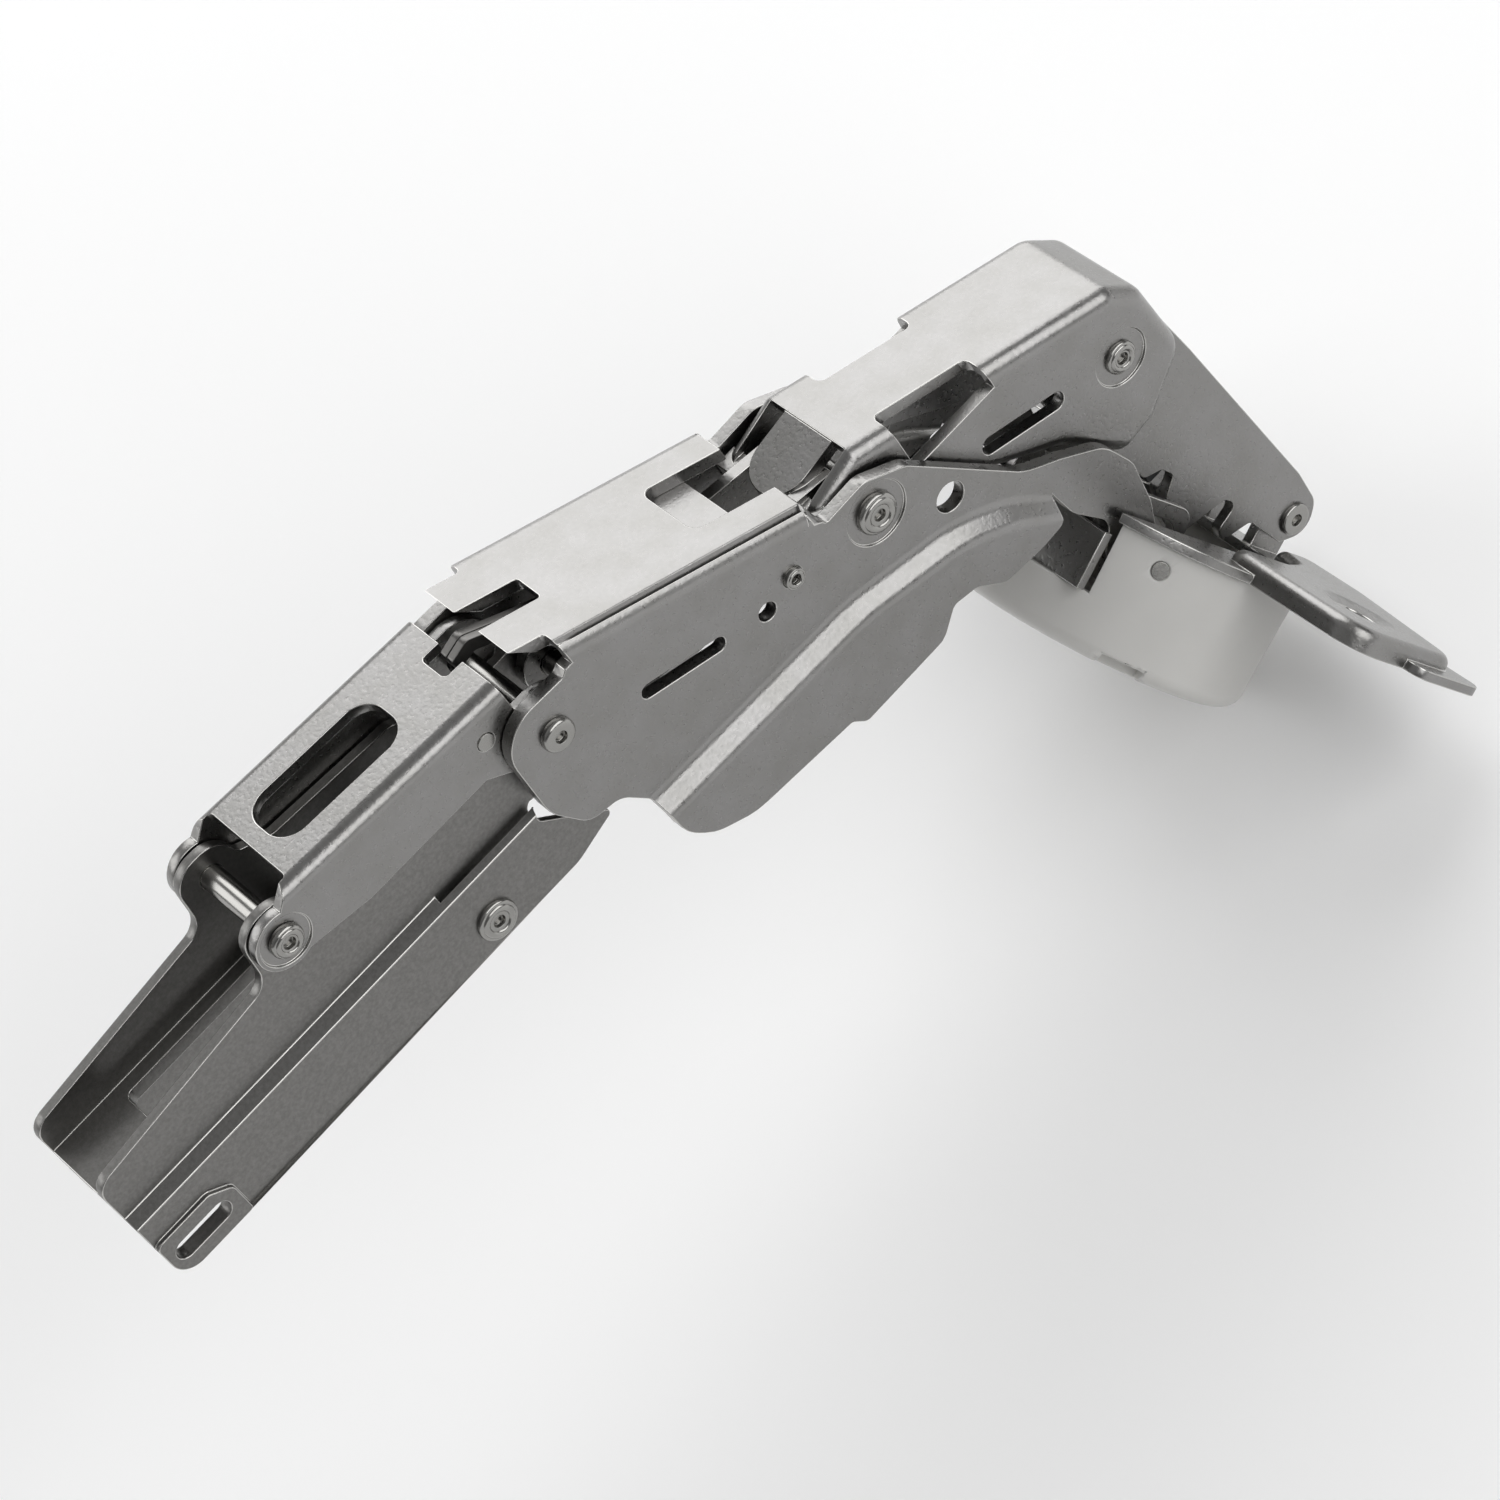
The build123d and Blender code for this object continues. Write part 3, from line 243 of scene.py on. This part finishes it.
def burnished_nickel_with_painted_highlight(finish):
    """The same plate on the rounded edges, polished by tumbling and painted brighter as a painted highlight:
    smoother, with short scuffs.
    """
    material, tree, shader, place = new_material("burnished_nickel_edge")
    # Scuffs are about 0.4 mm long
    scuffs = add(tree, "ShaderNodeTexNoise", {"Vector": place, "Scale": 1 / (0.4 * MM), "Detail": 2.0})
    sheen = add(
        tree, "ShaderNodeMapRange", {"Value": scuffs.outputs["Fac"], "To Min": 0.14, "To Max": 0.30}
    )
    tree.links.new(sheen.outputs["Result"], shader.inputs["Roughness"])
    # The edges are painted brighter than the plate: burnished wear, with a painted highlight
    shader.inputs["Base Color"].default_value = tuple(finish.nickel_edge_painted_highlight)
    shader.inputs["Metallic"].default_value = 1.0
    return material


def sandy_zinc(finish):
    """Nickel plate over die-cast zinc: a sandy skin, painted lighter on its raised grains as a glint and darker
    in its hollows as shade, matter than the pressings.
    """
    material, tree, shader, place = new_material("plated_die_cast_zinc")
    # Grit is about 0.15 mm, drawn at 0.4 mm so that it shows
    grit = add(
        tree,
        "ShaderNodeTexNoise",
        {"Vector": place, "Scale": 1 / (0.40 * MM), "Detail": 5.0, "Roughness": 0.65},
    )
    blend = add(tree, "ShaderNodeMapRange", {"Value": grit.outputs["Fac"], "From Min": 0.35, "From Max": 0.65})
    # The colour follows the grit that raises the bump: painted glint on the grains, painted shade in the hollows
    tone = add(
        tree,
        "ShaderNodeMix",
        {0: blend.outputs["Result"], 6: tuple(finish.zinc_painted_shade), 7: tuple(finish.zinc_painted_glint)},
        data_type="RGBA",
    )
    sheen = add(tree, "ShaderNodeMapRange", {"Value": grit.outputs["Fac"], "To Min": 0.42, "To Max": 0.34})
    bump = add(tree, "ShaderNodeBump", {"Height": grit.outputs["Fac"], "Strength": 0.30, "Distance": 0.06 * MM})
    tree.links.new(tone.outputs[2], shader.inputs["Base Color"])
    tree.links.new(sheen.outputs["Result"], shader.inputs["Roughness"])
    tree.links.new(bump.outputs["Normal"], shader.inputs["Normal"])
    shader.inputs["Metallic"].default_value = 1.0
    return material


def bright_rivet(finish):
    """Bright plated wire, cut and formed: smooth, with fine marks drawn out along the pin."""
    material, tree, shader, place = new_material("bright_plated_rivet_wire")
    # Drawing marks run along the pin about 0.1 mm apart, drawn at 0.25 mm so that they show
    stretch = add(tree, "ShaderNodeMapping", {"Vector": place, "Scale": (1.0, 0.12, 1.0)})
    marks = add(
        tree,
        "ShaderNodeTexNoise",
        {"Vector": stretch.outputs["Vector"], "Scale": 1 / (0.25 * MM), "Detail": 2.0},
    )
    sheen = add(tree, "ShaderNodeMapRange", {"Value": marks.outputs["Fac"], "To Min": 0.14, "To Max": 0.28})
    bump = add(tree, "ShaderNodeBump", {"Height": marks.outputs["Fac"], "Strength": 0.08, "Distance": 0.03 * MM})
    tree.links.new(sheen.outputs["Result"], shader.inputs["Roughness"])
    tree.links.new(bump.outputs["Normal"], shader.inputs["Normal"])
    shader.inputs["Base Color"].default_value = tuple(finish.rivet)
    shader.inputs["Metallic"].default_value = 1.0
    return material


def dark_strip(name, tint, rough):
    """Hardened or drawn steel with rolling marks along its length: darker and duller than plate."""
    material, tree, shader, place = new_material(name)
    # Rolling marks are about 0.2 mm apart and run along X
    stretch = add(tree, "ShaderNodeMapping", {"Vector": place, "Scale": (0.1, 1.0, 1.0)})
    marks = add(
        tree,
        "ShaderNodeTexNoise",
        {"Vector": stretch.outputs["Vector"], "Scale": 1 / (0.2 * MM), "Detail": 2.0},
    )
    sheen = add(
        tree,
        "ShaderNodeMapRange",
        {"Value": marks.outputs["Fac"], "To Min": rough - 0.06, "To Max": rough + 0.06},
    )
    tree.links.new(sheen.outputs["Result"], shader.inputs["Roughness"])
    shader.inputs["Base Color"].default_value = tint
    shader.inputs["Metallic"].default_value = 1.0
    return material


def milky_plastic(finish):
    """Acetal moulding: milky and slightly see-through at its walls, with a faint spark-eroded skin."""
    material, tree, shader, place = new_material("milky_acetal_moulding")
    # The eroded skin is about 0.1 mm, drawn at 0.35 mm so that it shows
    skin = add(tree, "ShaderNodeTexNoise", {"Vector": place, "Scale": 1 / (0.35 * MM), "Detail": 3.0})
    flow = add(tree, "ShaderNodeTexNoise", {"Vector": place, "Scale": 1 / (9.0 * MM), "Detail": 2.0})
    pale = tuple(finish.milky)
    deep = tuple(v * 0.90 for v in pale[:3]) + (1.0,)
    tone = add(tree, "ShaderNodeMix", {0: flow.outputs["Fac"], 6: deep, 7: pale}, data_type="RGBA")
    bump = add(tree, "ShaderNodeBump", {"Height": skin.outputs["Fac"], "Strength": 0.10, "Distance": 0.05 * MM})
    tree.links.new(tone.outputs[2], shader.inputs["Base Color"])
    tree.links.new(bump.outputs["Normal"], shader.inputs["Normal"])
    shader.inputs["Roughness"].default_value = 0.42
    shader.inputs["IOR"].default_value = 1.48
    shader.inputs["Subsurface Weight"].default_value = 0.35
    shader.inputs["Subsurface Radius"].default_value = (1.2, 1.2, 1.15)
    shader.inputs["Subsurface Scale"].default_value = 1.5 * MM
    return material


def black_plastic(finish):
    """Black moulded buffer: dull, with a faint grain."""
    material, tree, shader, place = new_material("black_moulded_buffer")
    # The grain is about 0.3 mm
    grain = add(tree, "ShaderNodeTexNoise", {"Vector": place, "Scale": 1 / (0.3 * MM), "Detail": 2.0})
    sheen = add(tree, "ShaderNodeMapRange", {"Value": grain.outputs["Fac"], "To Min": 0.38, "To Max": 0.54})
    tree.links.new(sheen.outputs["Result"], shader.inputs["Roughness"])
    shader.inputs["Base Color"].default_value = tuple(finish.black)
    shader.inputs["IOR"].default_value = 1.5
    return material


MATERIALS = {}


def material(name):
    """One of the hinge's materials, made when it is first asked for."""
    if name not in MATERIALS:
        finish = bpy.context.scene.hinge_settings.finish
        makers = {
            "nickel": lambda: satin_nickel(finish),
            "burnish_and_painted_highlight": lambda: burnished_nickel_with_painted_highlight(finish),
            "zinc": lambda: sandy_zinc(finish),
            "rivet": lambda: bright_rivet(finish),
            "spring": lambda: dark_strip("hardened_spring_strip", tuple(finish.spring), 0.34),
            "tube": lambda: dark_strip("drawn_damper_tube", tuple(finish.tube), 0.30),
            "milky": lambda: milky_plastic(finish),
            "black": lambda: black_plastic(finish),
        }
        MATERIALS[name] = makers[name]()
    return MATERIALS[name]


def round_edges(shape, width, turns, steps, slot):
    """Rounds the edges whose turn is between two angles, and pulls stray corners back to the old surface."""
    low, high = turns
    skin = BVHTree.FromBMesh(shape)
    turning = [
        e for e in shape.edges if len(e.link_faces) == 2 and low < math.degrees(e.calc_face_angle()) <= high
    ]
    bmesh.ops.bevel(
        shape,
        geom=turning,
        offset=width,
        offset_type="OFFSET",
        segments=steps,
        profile=0.5,
        affect="EDGES",
        clamp_overlap=False,
        material=slot,
    )
    for vertex in shape.verts:
        nearest, _, _, distance = skin.find_nearest(vertex.co)
        if distance > width * STRAY:
            vertex.co = nearest


def blunt(shape, corner, rounded):
    """Pulls a sharp corner in to the rounding of its fold, on both sides of the hinge."""
    for vertex in shape.verts:
        place = vertex.co / MM
        if (Vector((place.x, abs(place.y), place.z)) - Vector(corner)).length < AT_CORNER:
            vertex.co = Vector((rounded[0], math.copysign(rounded[1], place.y), rounded[2])) * MM


def flatten(piece):
    """Turns a piece with modifiers into a plain mesh."""
    evaluated = piece.evaluated_get(bpy.context.evaluated_depsgraph_get())
    plain = bpy.data.meshes.new_from_object(evaluated)
    piece.modifiers.clear()
    piece.data = plain


def dress(piece_name, node, edge, face, edge_finish, bend=0.0, cleaning=PLAIN, corner=None):
    """A copy of a CAD node with rounded edges in their own edge finish (on the plated pieces burnished wear with
    a painted highlight), which rides on the node's body in its place.
    A folded piece gives bend, the rounding along its shallow folds, and corner, what blunt takes."""
    shortest, flat = cleaning[0] * MM, math.radians(cleaning[1])
    source = frame["nodes"][node]
    shape = bmesh.new()
    shape.from_mesh(source.data)
    if corner:
        blunt(shape, *corner)
    bmesh.ops.remove_doubles(shape, verts=shape.verts, dist=shortest)
    bmesh.ops.dissolve_degenerate(shape, edges=shape.edges, dist=shortest)
    bmesh.ops.dissolve_limit(shape, angle_limit=flat, verts=shape.verts, edges=shape.edges)
    if bend:
        round_edges(shape, bend, FOLD_TURNS, FOLD_STEPS, 0)
    round_edges(shape, edge, EDGE_TURNS, EDGE_STEPS, 1)
    # Corners that the rounding brought together are welded
    bmesh.ops.remove_doubles(shape, verts=shape.verts, dist=WELD)
    bmesh.ops.dissolve_degenerate(shape, edges=shape.edges, dist=WELD)
    mesh = bpy.data.meshes.new(piece_name)
    shape.to_mesh(mesh)
    shape.free()
    mesh.materials.append(material(face))
    mesh.materials.append(material(edge_finish))
    mesh.shade_smooth()
    mesh.set_sharp_from_angle(angle=math.radians(CRISP))
    piece = bpy.data.objects.new(piece_name, mesh)
    bpy.context.scene.collection.objects.link(piece)
    weights = piece.modifiers.new("weights", "WEIGHTED_NORMAL")
    weights.keep_sharp = True
    flatten(piece)
    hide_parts(node)
    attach(piece, source["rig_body"])
    return piece


def rim_tree(face):
    """Geometry nodes that set a formed ring on each point, as wide as the point's reach."""
    tree = bpy.data.node_groups.new("formed_rivet_rims", "GeometryNodeTree")
    tree.interface.new_socket("Geometry", in_out="INPUT", socket_type="NodeSocketGeometry")
    thickness = tree.interface.new_socket("Rim thickness", in_out="INPUT", socket_type="NodeSocketFloat")
    tree.interface.new_socket("Geometry", in_out="OUTPUT", socket_type="NodeSocketGeometry")
    entry = add(tree, "NodeGroupInput")
    ring = add(tree, "GeometryNodeCurvePrimitiveCircle", {"Resolution": RIM_FACETS, "Radius": RIM_REACH})
    section = add(
        tree,
        "GeometryNodeCurvePrimitiveCircle",
        {"Resolution": RIM_SECTION, "Radius": entry.outputs["Rim thickness"]},
    )
    rim = add(
        tree,
        "GeometryNodeCurveToMesh",
        {"Curve": ring.outputs["Curve"], "Profile Curve": section.outputs["Curve"]},
    )
    reach = add(tree, "GeometryNodeInputNamedAttribute", {"Name": "reach"}, data_type="FLOAT")
    rims = add(
        tree,
        "GeometryNodeInstanceOnPoints",
        {
            "Points": entry.outputs["Geometry"],
            "Instance": rim.outputs["Mesh"],
            "Rotation": (math.radians(90), 0.0, 0.0),
            "Scale": reach.outputs[0],
        },
    )
    plain = add(tree, "GeometryNodeRealizeInstances", {"Geometry": rims.outputs["Instances"]})
    smooth = add(tree, "GeometryNodeSetShadeSmooth", {"Geometry": plain.outputs["Geometry"]})
    painted = add(
        tree, "GeometryNodeSetMaterial", {"Geometry": smooth.outputs["Geometry"], "Material": material(face)}
    )
    add(tree, "NodeGroupOutput", {"Geometry": painted.outputs["Geometry"]})
    return tree, thickness.identifier


class HINGE_OT_arm(bpy.types.Operator):
    """Dress the cast arm that clips on to the mounting plate"""

    bl_idname = "hinge.arm"
    bl_label = "Cast arm"

    def execute(self, context):
        edges = context.scene.hinge_settings.edges
        dress("arm_casting", "hinge_arm", edges.cast, "zinc", "burnish_and_painted_highlight", cleaning=(0.06, 3.0))
        return {"FINISHED"}


class HINGE_OT_levers(bpy.types.Operator):
    """Dress the pressed levers and links"""

    bl_idname = "hinge.levers"
    bl_label = "Levers and links"

    # How each is cleaned first, whether its shallow folds are rounded, and the corner that is blunted
    pressings = {
        "main_lever": ((0.03, 3.0), True, LEVER_CORNER),
        "box_link": ((0.10, 3.0), False, None),
        "inner_lever": ((0.06, 3.0), False, None),
        "cup_link": (PLAIN, False, None),
        "spring_plate": (PLAIN, False, None),
    }

    def execute(self, context):
        edges = context.scene.hinge_settings.edges
        for node, (cleaning, bend, corner) in self.pressings.items():
            name, fold = node + "_pressing", bend * edges.fold
            dress(name, node, edges.pressed, "nickel", "burnish_and_painted_highlight", fold, cleaning, corner)
        return {"FINISHED"}


class HINGE_OT_springs(bpy.types.Operator):
    """Dress the leaf springs"""

    bl_idname = "hinge.springs"
    bl_label = "Leaf springs"

    def execute(self, context):
        edges = context.scene.hinge_settings.edges
        for node in ("leaf_spring_near", "leaf_spring_far"):
            dress(node + "_strip", node, edges.turned, "spring", "spring")
        return {"FINISHED"}


class HINGE_OT_cup(bpy.types.Operator):
    """Dress the door cup: flange, bracket, housing, dampers, pegs and buffer"""

    bl_idname = "hinge.cup"
    bl_label = "Door cup"

    def execute(self, context):
        edges = context.scene.hinge_settings.edges
        dress("cup_flange_pressing", "cup_flange", edges.pressed, "nickel", "burnish_and_painted_highlight")
        dress("pivot_bracket_pressing", "pivot_bracket", edges.pressed, "nickel", "burnish_and_painted_highlight")
        dress("cup_moulding", "damper_housing", edges.moulded, "milky", "milky")
        dress("buffer_moulding", "buffer_block", edges.moulded, "black", "black")
        dress("peg_wire", "bracket_pegs", edges.turned, "rivet", "rivet")
        for node in ("damper_cartridge_inner", "damper_cartridge_outer"):
            dress(node + "_tube", node, edges.turned, "tube", "tube")
        return {"FINISHED"}


class HINGE_OT_rivets(bpy.types.Operator):
    """Dress the pins and rivets and set a formed rim on both heads of each rivet listed in rimmed"""

    bl_idname = "hinge.rivets"
    bl_label = "Pins and rivets"

    pins = {
        "arm": ("arm_rear_pin", "arm_front_pin", "plate_hook_rivet"),
        "box_link": ("link_stop_rivets",),
        "main_lever": ("lever_rear_pin", "crossing_rivet", "side_rivets", "finger_pin"),
        "inner_lever": ("cup_link_rivet",),
        "cup_link": ("cup_pin",),
    }
    rimmed = ("arm_rear_pin", "plate_hook_rivet", "crossing_rivet", "side_rivets", "cup_link_rivet")

    def execute(self, context):
        edges = context.scene.hinge_settings.edges
        tree, thickness = rim_tree("rivet")
        for body, nodes in self.pins.items():
            for node in nodes:
                dress(node + "_wire", node, edges.turned, "rivet", "rivet")
            heads = [node for node in nodes if node in self.rimmed]
            if heads:
                self.set_rims(context, body, heads, tree, thickness, edges.rim)
        return {"FINISHED"}

    def set_rims(self, context, body, heads, tree, thickness, rim):
        """One mesh of rims for a body, on both ends of each of its rivets."""
        points, reach = [], []
        for node in heads:
            low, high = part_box(node)
            middle, radius = (low + high) / 2, (high.x - low.x) / 2
            for y in (low.y, high.y):
                points.append((middle.x, y - math.copysign(rim * radius * RIM_SUNK, y), middle.z))
                reach.append(radius)
        mesh = bpy.data.meshes.new(body + "_rivet_rims")
        mesh.from_pydata(points, [], [])
        mesh.attributes.new("reach", "FLOAT", "POINT").data.foreach_set("value", reach)
        piece = bpy.data.objects.new(body + "_rivet_rims", mesh)
        context.scene.collection.objects.link(piece)
        modifier = piece.modifiers.new("rims", "NODES")
        modifier.node_group = tree
        modifier[thickness] = rim
        flatten(piece)
        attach(piece, body)


class HINGE_OT_stage(bpy.types.Operator):
    """Make the pale floor, the soft lamps and the camera"""

    bl_idname = "hinge.stage"
    bl_label = "Stage"

    # Each softbox: the way to it from the hinge, how far off it stands, and its width and height (m)
    softboxes = {
        "key": ((0.58, 0.64, 0.50), 0.8, (0.8, 0.8)),
        "edge": ((-0.58, 0.64, 0.50), 0.8, (0.5, 0.5)),
        "front": ((0.38, -0.76, 0.52), 0.9, (1.3, 0.55)),
    }
    # Half the floor's width, its gap under the hinge, and where the lamps' light on it fades and ends (m)
    floor_half, floor_gap, lamps_fade, lamps_end = 3.0, 0.3 * MM, 0.40, 0.80
    # The palest direction of the surroundings, and their strength away from it and towards it
    sky_palest, sky_dim, sky_pale = (0.0, 0.6, 0.8), 0.10, 0.385
    # The photograph's viewpoint (m), the directions to its right and up its picture, and the sensor (mm)
    viewpoint = (-0.0292, -0.3252, 0.36835)
    rightward, upward = (0.68293, -0.61681, -0.39133), (0.71574, 0.45796, 0.52725)
    sensor = 36.0

    def execute(self, context):
        scene = context.scene
        settings = scene.hinge_settings.stage
        scene.view_settings.view_transform = "Standard"
        self.floor(scene, settings)
        self.world(scene)
        middle = (CAD_BOX[0] + CAD_BOX[1]) / 2
        for name, (direction, distance, size) in self.softboxes.items():
            self.softbox(scene, name + "_softbox", middle, direction, distance, size, getattr(settings, name))
        self.camera(scene, settings)
        return {"FINISHED"}

    def floor(self, scene, settings):
        """A wide pale floor just under the lowest point."""
        half, z = self.floor_half, CAD_BOX[0].z - self.floor_gap
        corners = [(-half, -half, z), (half, -half, z), (half, half, z), (-half, half, z)]
        mesh = bpy.data.meshes.new("floor")
        mesh.from_pydata(corners, [], [(0, 1, 2, 3)])
        paint, tree, shader, place = new_material("matt_studio_floor")
        shader.inputs["Base Color"].default_value = tuple(settings.floor)
        shader.inputs["Roughness"].default_value = 0.9
        self.far_floor(tree, shader, place, tuple(settings.floor))
        mesh.materials.append(paint)
        floor = bpy.data.objects.new("floor", mesh)
        scene.collection.objects.link(floor)

    def far_floor(self, tree, shader, place, paint):
        """Beyond the lamps' reach, the floor's own colour as the camera, metal and plastic see it."""
        rays = add(tree, "ShaderNodeLightPath").outputs
        mirrored = add(
            tree,
            "ShaderNodeMath",
            {0: rays["Is Glossy Ray"], 1: rays["Is Transmission Ray"]},
            operation="MAXIMUM",
        )
        seen = add(
            tree, "ShaderNodeMath", {0: rays["Is Camera Ray"], 1: mirrored.outputs[0]}, operation="MAXIMUM"
        )
        away = add(tree, "ShaderNodeVectorMath", {0: place}, operation="LENGTH")
        far = add(
            tree,
            "ShaderNodeMapRange",
            {"Value": away.outputs["Value"], "From Min": self.lamps_fade, "From Max": self.lamps_end},
            interpolation_type="SMOOTHSTEP",
        )
        share = add(
            tree, "ShaderNodeMath", {0: seen.outputs[0], 1: far.outputs["Result"]}, operation="MULTIPLY"
        )
        pale = add(tree, "ShaderNodeEmission", {"Color": paint, "Strength": 1.0})
        surface = add(
            tree,
            "ShaderNodeMixShader",
            {0: share.outputs[0], 1: shader.outputs["BSDF"], 2: pale.outputs["Emission"]},
        )
        tree.links.new(surface.outputs["Shader"], tree.nodes["Material Output"].inputs["Surface"])

    def world(self, scene):
        """Soft surroundings: pale overhead and behind, dim in front."""
        world = bpy.data.worlds.new("soft_studio")
        world.use_nodes = True
        tree = world.node_tree
        tree.nodes.clear()
        direction = add(tree, "ShaderNodeTexCoord").outputs["Generated"]
        ahead = add(tree, "ShaderNodeVectorMath", {0: direction, 1: self.sky_palest}, operation="DOT_PRODUCT")
        fade = add(
            tree,
            "ShaderNodeMapRange",
            {
                "Value": ahead.outputs["Value"],
                "From Min": -0.4,
                "From Max": 0.9,
                "To Min": self.sky_dim,
                "To Max": self.sky_pale,
            },
        )
        glow = add(
            tree, "ShaderNodeBackground", {"Color": (1.0, 1.0, 1.0, 1.0), "Strength": fade.outputs["Result"]}
        )
        add(tree, "ShaderNodeOutputWorld", {"Surface": glow.outputs["Background"]})
        scene.world = world

    def softbox(self, scene, name, middle, direction, distance, size, power):
        """A flat area lamp that faces the hinge."""
        lamp = bpy.data.lights.new(name, "AREA")
        lamp.shape = "RECTANGLE"
        lamp.size, lamp.size_y = size
        lamp.energy = power
        box = bpy.data.objects.new(name, lamp)
        away = Vector(direction).normalized()
        box.location = middle + away * distance
        box.rotation_euler = away.to_track_quat("Z", "Y").to_euler()
        scene.collection.objects.link(box)

    def camera(self, scene, settings):
        """The photograph's viewpoint, turned a little about its own axis."""
        lens = bpy.data.cameras.new("camera")
        lens.lens = settings.lens
        lens.sensor_width = self.sensor
        lens.clip_start = 0.01
        camera = bpy.data.objects.new("camera", lens)
        right, up = Vector(self.rightward), Vector(self.upward)
        back = right.cross(up)
        turn = Matrix((right, up, back)).transposed().to_4x4()
        camera.matrix_world = Matrix.Translation(self.viewpoint) @ turn
        scene.collection.objects.link(camera)
        scene.camera = camera


OPERATORS = (
    HINGE_OT_stage,
    HINGE_OT_arm,
    HINGE_OT_levers,
    HINGE_OT_springs,
    HINGE_OT_cup,
    HINGE_OT_rivets,
)


class HINGE_PT_panel(bpy.types.Panel):
    """Lists the hinge's pieces in the sidebar"""

    bl_idname = "HINGE_PT_panel"
    bl_label = "Concealed hinge"
    bl_space_type = "VIEW_3D"
    bl_region_type = "UI"
    bl_category = "Hinge"

    def draw(self, context):
        settings = context.scene.hinge_settings
        for group in (settings.edges, settings.finish, settings.stage):
            box = self.layout.box()
            for name in group.__annotations__:
                box.prop(group, name)
        for operator in OPERATORS:
            self.layout.operator(operator.bl_idname)


CLASSES = (HingeEdges, HingeFinish, HingeStage, HingeSettings, *OPERATORS, HINGE_PT_panel)


def register():
    for item in CLASSES:
        bpy.utils.register_class(item)
    bpy.types.Scene.hinge_settings = bpy.props.PointerProperty(type=HingeSettings)


def unregister():
    del bpy.types.Scene.hinge_settings
    for item in reversed(CLASSES):
        bpy.utils.unregister_class(item)


def main():
    register()
    bpy.ops.hinge.stage()
    bpy.ops.hinge.arm()
    bpy.ops.hinge.levers()
    bpy.ops.hinge.springs()
    bpy.ops.hinge.cup()
    bpy.ops.hinge.rivets()


if __name__ == "__main__":
    main()
